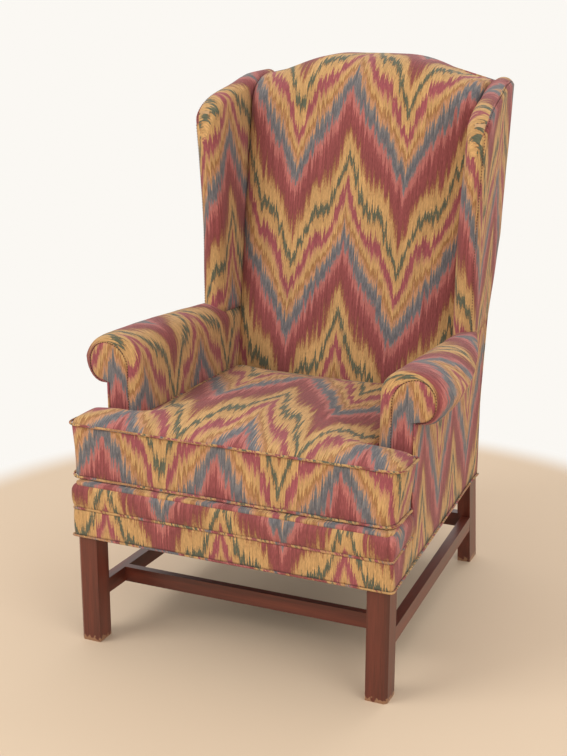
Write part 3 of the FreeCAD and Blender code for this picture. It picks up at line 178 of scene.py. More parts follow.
def arc_points(start: Pair, middle: Pair, end: Pair, count: int) -> list[Pair]:
    """Points along the arc through three points, both ends included.

    Args:
        start: First point.
        middle: A point on the arc.
        end: Last point.
        count: How many steps the arc is cut into.

    Returns:
        The points, one more than the steps.
    """
    (ax, ay), (bx, by), (cx, cy) = start, middle, end
    d = 2 * (ax * (by - cy) + bx * (cy - ay) + cx * (ay - by))
    if abs(d) < NEARLY_STRAIGHT:
        return [(ax + (cx - ax) * i / count, ay + (cy - ay) * i / count) for i in range(count + 1)]
    a2, b2, c2 = ax * ax + ay * ay, bx * bx + by * by, cx * cx + cy * cy
    ux = (a2 * (by - cy) + b2 * (cy - ay) + c2 * (ay - by)) / d
    uy = (a2 * (cx - bx) + b2 * (ax - cx) + c2 * (bx - ax)) / d
    first = math.atan2(ay - uy, ax - ux)
    sweep = (math.atan2(cy - uy, cx - ux) - first) % math.tau
    if (math.atan2(by - uy, bx - ux) - first) % math.tau > sweep:
        sweep -= math.tau
    radius = math.hypot(ax - ux, ay - uy)
    turns = [first + sweep * i / count for i in range(count + 1)]
    return [(ux + radius * math.cos(turn), uy + radius * math.sin(turn)) for turn in turns]


def line_points(start: Pair, end: Pair, count: int) -> list[Pair]:
    """Evenly spaced points along a line, both ends included."""
    return [(start[0] + (end[0] - start[0]) * i / count, start[1] + (end[1] - start[1]) * i / count)
            for i in range(count + 1)]


def joined(*stretches: list[Pair]) -> list[Pair]:
    """Stretches of an outline joined end to end, without doubled points.

    Args:
        stretches: The stretches in order, each from where the last one ends.

    Returns:
        All their points.
    """
    points = list(stretches[0])
    for stretch in stretches[1:]:
        points += stretch[1:]
    return points


def rounded_loop(corners: Sequence[Pair], radii: Sequence[float], inset: float, spacing: float) -> list[Pair]:
    """A closed outline with rounded corners, drawn in by an inset.

    Args:
        corners: Corners in anticlockwise order.
        radii: A radius for each corner.
        inset: How far the outline is drawn in.
        spacing: The longest step along its straight runs.

    Returns:
        The outline's points; the last is not the first again.
    """
    count = len(corners)
    arcs = []
    moved = []
    for i in range(count):
        before, here, after = (Vector(corners[(i + k) % count]) for k in (-1, 0, 1))
        arriving, leaving = (here - before).normalized(), (after - here).normalized()
        inward = Vector((-arriving.y - leaving.y, arriving.x + leaving.x))
        moved.append(here + inward * (inset / (1 + arriving.dot(leaving))))
    for i in range(count):
        before, here, after = moved[i - 1], moved[i], moved[(i + 1) % count]
        arriving, leaving = (here - before).normalized(), (after - here).normalized()
        turn = arriving.x * leaving.y - arriving.y * leaving.x
        radius = max(SMALLEST_RADIUS, radii[i] - inset if turn > 0 else radii[i] + inset)
        bend = math.acos(max(-1.0, min(1.0, arriving.dot(leaving))))
        reach = radius * math.tan(bend / 2)
        start, end = here - arriving * reach, here + leaving * reach
        chord = (start + end) / 2
        middle = chord + (here - chord).normalized() * (radius * (1 - math.cos(bend / 2)))
        arcs.append(arc_points(tuple(start), tuple(middle), tuple(end), CORNER_STEPS))
    points: list[Pair] = []
    for i in range(count):
        points += arcs[i]
        start, end = Vector(arcs[i][-1]), Vector(arcs[(i + 1) % count][0])
        steps = max(1, math.ceil((end - start).length / spacing))
        points += [tuple(start.lerp(end, k / steps)) for k in range(1, steps)]
    return points


def rounded_route(stops: Sequence[Vector], radii: Sequence[float], spacing: float) -> list[Vector]:
    """Points along an open route of lines and rounded corners.

    Args:
        stops: The route's ends and corners.
        radii: A radius for each corner.
        spacing: The longest step along its straight runs.

    Returns:
        The route's points.
    """
    runs: list[Vector] = [stops[0]]
    for i in range(1, len(stops) - 1):
        arriving, leaving = (stops[i] - stops[i - 1]).normalized(), (stops[i + 1] - stops[i]).normalized()
        bend = math.acos(max(-1.0, min(1.0, arriving.dot(leaving))))
        reach = radii[i - 1] * math.tan(bend / 2)
        steps = max(3, round(math.degrees(bend) / BEND_STEP_DEGREES))
        start, end = stops[i] - arriving * reach, stops[i] + leaving * reach
        for k in range(steps + 1):
            t = k / steps
            runs.append(start * (1 - t) ** 2 + stops[i] * 2 * t * (1 - t) + end * t ** 2)
    runs.append(stops[-1])
    points = [runs[0]]
    for last, here in zip(runs, runs[1:]):
        steps = max(1, math.ceil((here - last).length / spacing))
        points += [last.lerp(here, k / steps) for k in range(1, steps + 1)]
    return points


class NodeBook:
    """A material under construction, with short ways to add its nodes."""

    def __init__(self, name: str) -> None:
        """Start a material with a plain shader.

        Args:
            name: The material's name.
        """
        self.material = bpy.data.materials.new(name)
        self.material.use_nodes = True
        self.tree = self.material.node_tree
        self.shader = self.tree.nodes["Principled BSDF"]

    def add(self, kind: str, **settings: object) -> bpy.types.Node:
        """Add a node and set its properties.

        Args:
            kind: The node's type.
            settings: Its properties.

        Returns:
            The node.
        """
        node = self.tree.nodes.new(kind)
        for key, value in settings.items():
            setattr(node, key, value)
        return node

    def feed(self, socket: bpy.types.NodeSocket, value: object) -> None:
        """Link a socket, or set it where the value is a number.

        Args:
            socket: The socket that is fed.
            value: Another socket or a number.
        """
        if isinstance(value, bpy.types.NodeSocket):
            self.tree.links.new(value, socket)
        else:
            socket.default_value = value

    def calc(self, operation: str, *values: object) -> bpy.types.NodeSocket:
        """A sum in a Math node.

        Args:
            operation: The sum.
            values: Sockets or numbers.

        Returns:
            Where the sum comes out.
        """
        node = self.add("ShaderNodeMath", operation=operation)
        for socket, value in zip(node.inputs, values):
            self.feed(socket, value)
        return node.outputs[0]

    def noise(self, vector: object, scale: float, detail: float = 2.0) -> bpy.types.NodeSocket:
        """Plain noise from 0 to 1 at a vector.

        Args:
            vector: The place.
            scale: How often it varies.
            detail: How finely it breaks up.

        Returns:
            Where the noise comes out.
        """
        node = self.add("ShaderNodeTexNoise")
        self.feed(node.inputs["Vector"], vector)
        node.inputs["Scale"].default_value = scale
        node.inputs["Detail"].default_value = detail
        return node.outputs["Fac"]

    def combine(self, x: object, y: object, z: object = 0.0) -> bpy.types.NodeSocket:
        """A vector from three numbers.

        Args:
            x: The first.
            y: The second.
            z: The third.

        Returns:
            Where the vector comes out.
        """
        node = self.add("ShaderNodeCombineXYZ")
        for socket, value in zip(node.inputs, (x, y, z)):
            self.feed(socket, value)
        return node.outputs[0]

    def stretched(self, vector: object, scale: Sequence[float]) -> bpy.types.NodeSocket:
        """A vector with its axes stretched.

        Args:
            vector: The vector.
            scale: A factor for each axis.

        Returns:
            Where the stretched vector comes out.
        """
        node = self.add("ShaderNodeMapping")
        self.feed(node.inputs["Vector"], vector)
        node.inputs["Scale"].default_value = scale
        return node.outputs[0]

    def ramp(self, factor: object, stops: Sequence[tuple[float, Sequence[float]]]) -> bpy.types.NodeSocket:
        """A colour ramp with the stops given as place and colour.

        Args:
            factor: Where on the ramp.
            stops: Places and colours in rising order.

        Returns:
            Where the colour comes out.
        """
        node = self.add("ShaderNodeValToRGB")
        self.feed(node.inputs[0], factor)
        elements = node.color_ramp.elements
        while len(elements) < len(stops):
            elements.new(0.5)
        for element, (place, colour) in zip(elements, stops):
            element.position = place
            element.color = (*colour, 1.0)
        return node.outputs[0]

    def blend(self, factor: object, low: object, high: object, kind: str = "MIX") -> bpy.types.NodeSocket:
        """Two colours mixed.

        Args:
            factor: The share of the second.
            low: The first, a socket or a colour.
            high: The second.
            kind: The way they are mixed.

        Returns:
            Where the colour comes out.
        """
        node = self.add("ShaderNodeMix", data_type="RGBA", blend_type=kind)
        self.feed(node.inputs[0], factor)
        for socket, value in ((node.inputs[6], low), (node.inputs[7], high)):
            self.feed(socket, value if isinstance(value, bpy.types.NodeSocket) else (*value, 1.0))
        return node.outputs[2]

    def bump(self, height: object, strength: float, distance: float) -> None:
        """Relief on the shader's surface.

        Args:
            height: The height.
            strength: How much of it shows.
            distance: Its full depth in metres.
        """
        node = self.add("ShaderNodeBump")
        node.inputs["Strength"].default_value = strength
        node.inputs["Distance"].default_value = distance
        self.feed(node.inputs["Height"], height)
        self.feed(self.shader.inputs["Normal"], node.outputs[0])

    def place(self) -> bpy.types.NodeSocket:
        """The object's own coordinates, in metres."""
        return self.add("ShaderNodeTexCoord").outputs["Object"]

    def split(self, vector: object) -> bpy.types.NodeOutputs:
        """The three numbers of a vector.

        Args:
            vector: The vector.

        Returns:
            Where the numbers come out.
        """
        node = self.add("ShaderNodeSeparateXYZ")
        self.feed(node.inputs[0], vector)
        return node.outputs

    def surface(self, values: dict[str, float]) -> None:
        """Set numbers on the shader's own sockets."""
        for socket, value in values.items():
            self.shader.inputs[socket].default_value = value


def shade(red: int, green: int, blue: int) -> Colour:
    """A colour in linear light.

    Args:
        red: Its red on a screen, 0 to 255.
        green: Its green.
        blue: Its blue.

    Returns:
        The three values by a screen's own curve.
    """
    return tuple(c / 255 / 12.92 if c <= 10 else ((c / 255 + 0.055) / 1.055) ** 2.4
                 for c in (red, green, blue))


@dataclass(frozen=True)
class FlameCloth:
    """Flame-stitch cloth: bands of colour that climb and fall in feathered points.

    It reads the piece's own cloth coordinates, in metres: across the threads, then up them.
    A pair says how often streaks come across and up, in a metre.
    """

    name: str = "flame_cloth"
    repeat_across: float = 0.26
    repeat_up: float = 0.355
    tall_points: float = 0.212
    short_points: float = 0.008
    more_short: float = 0.04
    short_in_repeat: int = 3
    teeth: float = 0.014
    tooth_pitch: float = 0.0122
    feather: float = 0.042
    thread_feather: float = 1.6
    tweed: float = 0.085
    scale: float = 1.0
    first_tip: float = 64.072
    sway: float = 0.026
    sway_scale: float = 7.0
    threads: Pair = (330.0, 7.0)
    tufts: Pair = (95.0, 4.0)
    specks: Pair = (820.0, 170.0)
    fuzz: Pair = (700.0, 90.0)
    wear_scale: float = 9.0
    rib_pitch: float = 0.0021
    thread_pitch: float = 0.0016
    roughness: float = 0.92
    gloss: float = 0.18
    sheen: float = 0.12
    sheen_roughness: float = 0.5

    def points(self, book: NodeBook, across: object, pitch: float, height: float) -> bpy.types.NodeSocket:
        """A row of points: the drop below their tips, in metres."""
        turned = book.calc("PINGPONG", across, pitch / 2)
        return book.calc("MULTIPLY", turned, 2 * height / pitch)

    def falls(self, book: NodeBook, up: object, drop: object) -> bpy.types.NodeSocket:
        """How many repeats a spot lies below the first row of tips."""
        return book.calc("DIVIDE", book.calc("ADD", up, drop), -self.repeat_up)

    def streaks(self, book: NodeBook, lie: Sequence[object], often: Pair,
                detail: float = 1.0) -> bpy.types.NodeSocket:
        """Noise drawn out along the threads.

        Args:
            book: The material under construction.
            lie: The cloth's coordinates, across and up.
            often: How often the streaks come across and up.
            detail: How finely they break up.

        Returns:
            The noise, from 0 to 1.
        """
        across, up = (book.calc("MULTIPLY", place, scale) for place, scale in zip(lie, often))
        return book.noise(book.combine(across, up), 1.0, detail)

    def hanging(self, book: NodeBook, lie: Sequence[object], threads: object) -> bpy.types.NodeSocket:
        """How far the bands hang below their tips: tall points, short ones, teeth and feathered threads.

        Args:
            book: The material under construction.
            lie: The cloth's coordinates, across and up.
            threads: The streaks of the single threads.

        Returns:
            The drop, in metres.
        """
        across, up = lie
        cloud = book.noise(book.combine(across, up), self.sway_scale)
        swayed = book.calc("ADD", across, book.calc("MULTIPLY_ADD", cloud, self.sway, -self.sway / 2))
        drop = self.points(book, swayed, self.repeat_across, self.tall_points)
        broad = book.calc("FRACT", book.calc("ADD", self.falls(book, up, drop), self.first_tip))
        hump = book.ramp(broad, [(0.3, (0, 0, 0)), (0.48, (1, 1, 1)), (0.82, (1, 1, 1)), (0.98, (0, 0, 0))])
        short = self.repeat_across / self.short_in_repeat
        extra = self.points(book, swayed, short, self.more_short)
        drop = book.calc("ADD", drop, self.points(book, swayed, short, self.short_points))
        drop = book.calc("MULTIPLY_ADD", extra, hump, drop)
        drop = book.calc("ADD", drop, self.points(book, across, self.tooth_pitch, self.teeth))
        for streaks, reach in ((threads, self.feather * self.thread_feather),
                               (self.streaks(book, lie, self.tufts), self.feather)):
            drop = book.calc("MULTIPLY_ADD", book.calc("SUBTRACT", streaks, 0.5), reach, drop)
        return drop

    def make(self) -> bpy.types.Material:
        """Build the cloth's nodes.

        Returns:
            The cloth's material.
        """
        book = NodeBook(self.name)
        laid = book.add("ShaderNodeUVMap", uv_map="cloth").outputs[0]
        if self.scale != 1.0:
            laid = book.stretched(laid, (self.scale, self.scale, 1.0))
        lie = book.split(laid)[:2]
        across, up = lie
        threads = self.streaks(book, lie, self.threads)
        drop = self.hanging(book, lie, threads)
        speck = book.calc("SUBTRACT", self.streaks(book, lie, self.specks), 0.5)
        falls = book.calc("MULTIPLY_ADD", speck, self.tweed, self.falls(book, up, drop))
        phase = book.calc("FRACT", book.calc("ADD", falls, self.first_tip))
        colour = book.ramp(phase, self.bands())
        fuzz = self.streaks(book, lie, self.fuzz, 2.0)
        worn = book.noise(book.combine(across, up), self.wear_scale, 3.0)
        light = book.calc("MULTIPLY_ADD", fuzz, 1.0, 0.5)
        for cloud, reach, least in ((threads, 0.8, 0.6), (worn, 0.24, 0.88)):
            light = book.calc("MULTIPLY", light, book.calc("MULTIPLY_ADD", cloud, reach, least))
        colour = book.blend(1.0, colour, book.combine(light, light, light), "MULTIPLY")
        book.feed(book.shader.inputs["Base Color"], colour)
        book.surface({"Roughness": self.roughness, "Specular IOR Level": self.gloss,
                      "Sheen Weight": self.sheen, "Sheen Roughness": self.sheen_roughness})
        rib, thread = (book.calc("SINE", book.calc("MULTIPLY", way, math.tau / pitch))
                       for way, pitch in ((up, self.rib_pitch), (across, self.thread_pitch)))
        weave = book.calc("MULTIPLY_ADD", rib, 0.25, book.calc("MULTIPLY_ADD", thread, 0.3, fuzz))
        book.bump(weave, 0.55, 0.0009)
        return book.material

    def bands(self) -> list[tuple[float, Sequence[float]]]:
        """The colours met on the way down, from the slate band.

        Returns:
            Places in a repeat and colours.
        """
        slate = shade(120, 116, 114)
        slate_dark = shade(96, 94, 98)
        coral = shade(176, 106, 98)
        maroon = shade(144, 76, 74)
        maroon_dark = shade(134, 70, 68)
        gold = shade(192, 150, 98)
        olive = shade(92, 94, 76)
        rose = shade(152, 80, 84)
        tan = shade(186, 136, 100)
        brown = shade(160, 114, 72)
        return [
            (0.0, slate), (0.05, slate_dark), (0.092, slate), (0.106, coral), (0.155, coral),
            (0.19, maroon), (0.315, maroon_dark), (0.35, brown), (0.372, gold), (0.465, gold),
            (0.482, olive), (0.535, olive), (0.548, brown), (0.56, gold), (0.645, gold), (0.665, rose),
            (0.745, rose), (0.775, tan), (0.82, gold), (0.86, gold), (0.875, brown), (0.915, brown),
            (0.93, tan), (0.965, tan), (0.985, slate),
        ]


@dataclass(frozen=True)
class Mahogany:
    """Stained hardwood under a satin finish, scuffed at the feet."""

    name: str
    grain: Grain
    figure_scale: float = 34.0
    pore_scale: float = 60.0
    pore_stretch: float = 6.0
    scuff_height: float = 0.03
    scuff_scale: float = 120.0
    scuff_from: float = 0.38
    scuff_depth: float = 0.7
    coat: float = 0.18
    coat_roughness: float = 0.25

    def make(self) -> bpy.types.Material:
        """Build the wood's nodes.

        Returns:
            The wood's material.
        """
        book = NodeBook(self.name)
        place = book.place()
        lie = book.stretched(place, self.grain.value)
        figure = book.noise(lie, self.figure_scale, 6.0)
        pores = book.noise(book.stretched(lie, (self.pore_stretch,) * 3), self.pore_scale, 3.0)
        tone = book.calc("MULTIPLY_ADD", pores, 0.3, book.calc("MULTIPLY", figure, 0.75))
        colour = book.ramp(tone, [(0.22, shade(54, 22, 15)), (0.45, shade(86, 37, 24)),
                                  (0.6, shade(106, 47, 32)), (0.8, shade(122, 58, 38))])
        height = book.split(place)[2]
        low = book.calc("SUBTRACT", 1.0, book.calc("DIVIDE", height, self.scuff_height))
        scuff = book.calc("MULTIPLY", low, book.noise(place, self.scuff_scale, 4.0))
        worn = book.calc("MULTIPLY", book.calc("GREATER_THAN", scuff, self.scuff_from), self.scuff_depth)
        colour = book.blend(worn, colour, shade(158, 118, 86))
        book.feed(book.shader.inputs["Base Color"], colour)
        book.feed(book.shader.inputs["Roughness"], book.calc("MULTIPLY_ADD", figure, 0.25, 0.26))
        book.surface({"Coat Weight": self.coat, "Coat Roughness": self.coat_roughness})
        book.bump(tone, 0.12, 0.0006)
        return book.material


@dataclass(frozen=True)
class PlainFinish:
    """A mottled finish for timber, jute, cambric, tape and metal."""

    name: str
    dark: Colour
    pale: Colour
    roughness: float
    metallic: float = 0.0
    mottle: float = 60.0
    weave: float = 0.0

    def make(self) -> bpy.types.Material:
        """Build the finish's nodes.

        Returns:
            The finish's material.
        """
        book = NodeBook(self.name)
        place = book.place()
        relief = book.noise(place, self.mottle, 4.0)
        colour = book.ramp(relief, [(0.3, self.dark), (0.7, self.pale)])
        book.feed(book.shader.inputs["Base Color"], colour)
        book.surface({"Roughness": self.roughness, "Metallic": self.metallic})
        if self.weave:
            turns = math.tau / self.weave
            warp, weft = (book.calc("SINE", book.calc("MULTIPLY", way, turns))
                          for way in book.split(place)[:2])
            relief = book.calc("MULTIPLY", warp, weft)
        book.bump(relief, 0.3, 0.0005)
        return book.material


@dataclass
class ClothSkin:
    """A closed padded form from rows of points, with the cloth laid over it.

    Every row is a loop whose last point is its first again. lay gives the cloth's
    coordinates in millimetres for a row, a column and the quad's column.
    """

    name: str
    rows: list[list[Vector]]
    lay: LayCloth
    shift: Pair = (0.0, 0.0)
    ruffle: float = 0.8
    ruffle_size: float = 60.0
    seed: float = 0.0

    def build(self, finish: bpy.types.Material) -> bpy.types.Object:
        """Make the mesh, its cloth coordinates and its soft unevenness.

        Args:
            finish: The cloth's material.

        Returns:
            The finished piece.
        """
        count = len(self.rows[0]) - 1
        mesh = bmesh.new()
        grid = [[mesh.verts.new(p) for p in row[:count]] for row in self.rows]
        layer = mesh.loops.layers.uv.new("cloth")
        for i in range(len(grid) - 1):
            for j in range(count):
                corners = ((i, j), (i, j + 1), (i + 1, j + 1), (i + 1, j))
                face = mesh.faces.new([grid[r][c % count] for r, c in corners])
                for loop, (r, c) in zip(face.loops, corners):
                    loop[layer].uv = self.cloth_at(r, c, j)
        for i in (0, len(grid) - 1):
            face = mesh.faces.new(grid[i])
            for c, loop in enumerate(face.loops):
                loop[layer].uv = self.cloth_at(i, c, c)
        bmesh.ops.remove_doubles(mesh, verts=mesh.verts, dist=0.00001)
        bmesh.ops.recalc_face_normals(mesh, faces=mesh.faces)
        mesh.normal_update()
        if self.ruffle:
            moves = []
            for vert in mesh.verts:
                at = vert.co / (self.ruffle_size * MM) + Vector((self.seed, 0.0, 0.0))
                moves.append(vert.normal * (noise.noise(at) * self.ruffle * MM))
            for vert, move in zip(mesh.verts, moves):
                vert.co += move
        return finished(self.name, mesh, finish)

    def cloth_at(self, row: int, column: int, quad: int) -> Pair:
        """The cloth's coordinates in metres at a corner."""
        across, up = self.lay(row, column, quad)
        return (across - self.shift[0]) * MM, (up - self.shift[1]) * MM


def finished(name: str, mesh: bmesh.types.BMesh, finish: bpy.types.Material) -> bpy.types.Object:
    """Turn a worked mesh into a smooth object at the origin.

    Args:
        name: The piece's name.
        mesh: The worked mesh, which is freed.
        finish: Its material.

    Returns:
        The piece.
    """
    for face in mesh.faces:
        face.smooth = True
    data = bpy.data.meshes.new(name)
    mesh.to_mesh(data)
    mesh.free()
    data.materials.append(finish)
    piece = bpy.data.objects.new(name, data)
    bpy.context.collection.objects.link(piece)
    return piece


def lengths_along(points: Sequence[Pair]) -> list[float]:
    """The distance run along an outline at each of its points.

    Args:
        points: The outline.

    Returns:
        A distance for each point.
    """
    run = [0.0]
    for last, here in zip(points, points[1:]):
        run.append(run[-1] + math.hypot(here[0] - last[0], here[1] - last[1]))
    return run


def tube(name: str, route: Sequence[Vector], radius: float, closed: bool, finish: bpy.types.Material,
         knobs: float = 0.09, seed: float = 0.0) -> bpy.types.Object:
    """A self-covered welt cord along a route, slightly knobby like real piping.

    Args:
        name: The piece's name.
        route: Points in metres.
        radius: The cord's radius in metres.
        closed: Whether the cord's ends meet.
        finish: Its material.
        knobs: How much the radius varies.
        seed: Where its unevenness starts.

    Returns:
        The cord.
    """
    sides = 10
    knob_scale = 160
    count = len(route)
    mesh = bmesh.new()
    layer = mesh.loops.layers.uv.new("cloth")
    rings = []
    run = [0.0]
    for i, here in enumerate(route):
        before = route[i - 1] if i or closed else here
        after = route[(i + 1) % count] if i < count - 1 or closed else here
        along = (after - before).normalized()
        out = along.cross(Vector((0.0, 0.0, 1.0)))
        out = out.normalized() if out.length > 0.05 else Vector((1.0, 0.0, 0.0))
        rise = out.cross(along).normalized()
        swell = radius * (1 + knobs * noise.noise(here * knob_scale + Vector((seed, 0, 0))))
        ring = []
        for k in range(sides):
            angle = math.tau * k / sides
            across, up = swell * math.cos(angle), swell * math.sin(angle)
            ring.append(mesh.verts.new(here + out * across + rise * up))
        rings.append(ring)
        run.append(run[-1] + (route[(i + 1) % count] - here).length)
    for i in range(count if closed else count - 1):
        for k in range(sides):
            corners = ((i, k), (i, k + 1), (i + 1, k + 1), (i + 1, k))
            face = mesh.faces.new([rings[r % count][c % sides] for r, c in corners])
            for loop, (r, c) in zip(face.loops, corners):
                loop[layer].uv = (run[r] * 0.75 + c * 0.0008, run[r] * 1.15)
    if not closed:
        mesh.faces.new(rings[0])
        mesh.faces.new(rings[-1])
    bmesh.ops.recalc_face_normals(mesh, faces=mesh.faces)
    return finished(name, mesh, finish)


def stitches(name: str, route: Sequence[Vector], pitch: float,
             finish: bpy.types.Material) -> bpy.types.Object:
    """Hand stitches along a seam: short beads of thread half sunk in the cloth.

    Args:
        name: The piece's name.
        route: Points along the seam in metres.
        pitch: The step from stitch to stitch in metres.
        finish: The thread's material.

    Returns:
        All the stitches of the seam in one piece.
    """
    thread_radius = 0.0011
    half_length = pitch * 0.33
    mesh = bmesh.new()
    due = 0.0
    for last, here in zip(route, route[1:]):
        length = (here - last).length
        while due < length:
            spot = last.lerp(here, due / length)
            facing = (here - last).normalized().to_track_quat("X", "Z").to_matrix().to_4x4()
            bead = Matrix.Diagonal((half_length, thread_radius, thread_radius, 1.0))
            shape = Matrix.Translation(spot) @ facing @ bead
            bmesh.ops.create_icosphere(mesh, subdivisions=1, radius=1.0, matrix=shape)
            due += pitch
        due -= length
    return finished(name, mesh, finish)


def worked(obj: bpy.types.Object, kind: str, **settings: object) -> None:
    """Give an object a modifier and apply it.

    Args:
        obj: The object.
        kind: The modifier's kind.
        settings: Its properties.
    """
    pick(obj)
    modifier = obj.modifiers.new(kind.lower(), kind)
    for key, value in settings.items():
        setattr(modifier, key, value)
    bpy.ops.object.modifier_apply(modifier=modifier.name)


def joined_pieces(pieces: list[bpy.types.Object]) -> bpy.types.Object:
    """Several objects joined into the first.

    Args:
        pieces: The objects.

    Returns:
        The first, with the others in it.
    """
    clear_selection()
    for piece in pieces:
        piece.select_set(True)
    bpy.context.view_layer.objects.active = pieces[0]
    bpy.ops.object.join()
    return pieces[0]


@dataclass
class Finishes:
    """Every finish on the chair, made once."""

    cloth: bpy.types.Material
    welt: bpy.types.Material
    thread: bpy.types.Material
    cambric: bpy.types.Material
    tape: bpy.types.Material
    brass: bpy.types.Material
    timber: bpy.types.Material
    jute: bpy.types.Material
    wire: bpy.types.Material
    felt: bpy.types.Material
    mahogany: dict[Grain, bpy.types.Material]

    @classmethod
    def make(cls) -> "Finishes":
        """Make every finish.

        Returns:
            All the finishes.
        """
        return cls(
            cloth=FlameCloth().make(),
            welt=FlameCloth(name="welt_cloth", feather=0.05, scale=2.2).make(),
            thread=PlainFinish("seam_thread", shade(64, 34, 32), shade(96, 56, 44), 0.8).make(),
            cambric=PlainFinish("black_cambric", shade(14, 14, 15), shade(26, 26, 27), 0.95,
                                weave=0.002).make(),
            tape=PlainFinish("zip_tape_weave", shade(70, 48, 34), shade(92, 64, 44), 0.85,
                             weave=0.0016).make(),
            brass=PlainFinish("worn_brass", shade(150, 118, 60), shade(186, 152, 88), 0.38,
                              metallic=1.0, mottle=220.0).make(),
            timber=PlainFinish("sawn_hardwood", shade(176, 138, 96), shade(204, 168, 124), 0.7).make(),
            jute=PlainFinish("jute_weave", shade(140, 108, 66), shade(176, 142, 94), 0.95,
                             weave=0.004).make(),
            wire=PlainFinish("spring_steel_wire", shade(110, 110, 112), shade(150, 150, 154), 0.35,
                             metallic=1.0).make(),
            felt=PlainFinish("cotton_felt", shade(206, 198, 176), shade(226, 220, 202), 0.97).make(),
            mahogany={grain: Mahogany(f"mahogany_{grain.name.lower()}", grain).make() for grain in Grain},
        )


@dataclass
class Woodwork:
    """The carried-over nodes of the frame, given their finishes."""

    finishes: Finishes

    def dress(self, nodes: dict[str, bpy.types.Object], slots: dict[str, str]) -> None:
        """Give each node the finish of its slot.

        Args:
            nodes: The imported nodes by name.
            slots: Each node's slot in the record.
        """
        by_slot = {
            "frame_wood": self.finishes.timber, "jute": self.finishes.jute, "padding": self.finishes.felt,
            "spring_steel": self.finishes.wire, "screw_steel": self.finishes.wire,
            "zip_metal": self.finishes.brass, "cambric": self.finishes.cambric,
            "zip_tape": self.finishes.tape, "cover_fabric": self.finishes.cloth,
            "welt_fabric": self.finishes.welt,
        }
        for name, node in nodes.items():
            slot = slots.get(name, "")
            finish = self.legs(name) if slot == "leg_wood" else by_slot.get(slot)
            if finish is None:
                continue
            for place in node.material_slots:
                place.material = finish

    def legs(self, name: str) -> bpy.types.Material:
        """The mahogany whose grain runs along a leg or stretcher.

        Args:
            name: The node's name.

        Returns:
            The finish.
        """
        if "leg" in name or "post" in name:
            return self.finishes.mahogany[Grain.ALONG_Z]
        if "side" in name:
            return self.finishes.mahogany[Grain.ALONG_Y]
        return self.finishes.mahogany[Grain.ALONG_X]


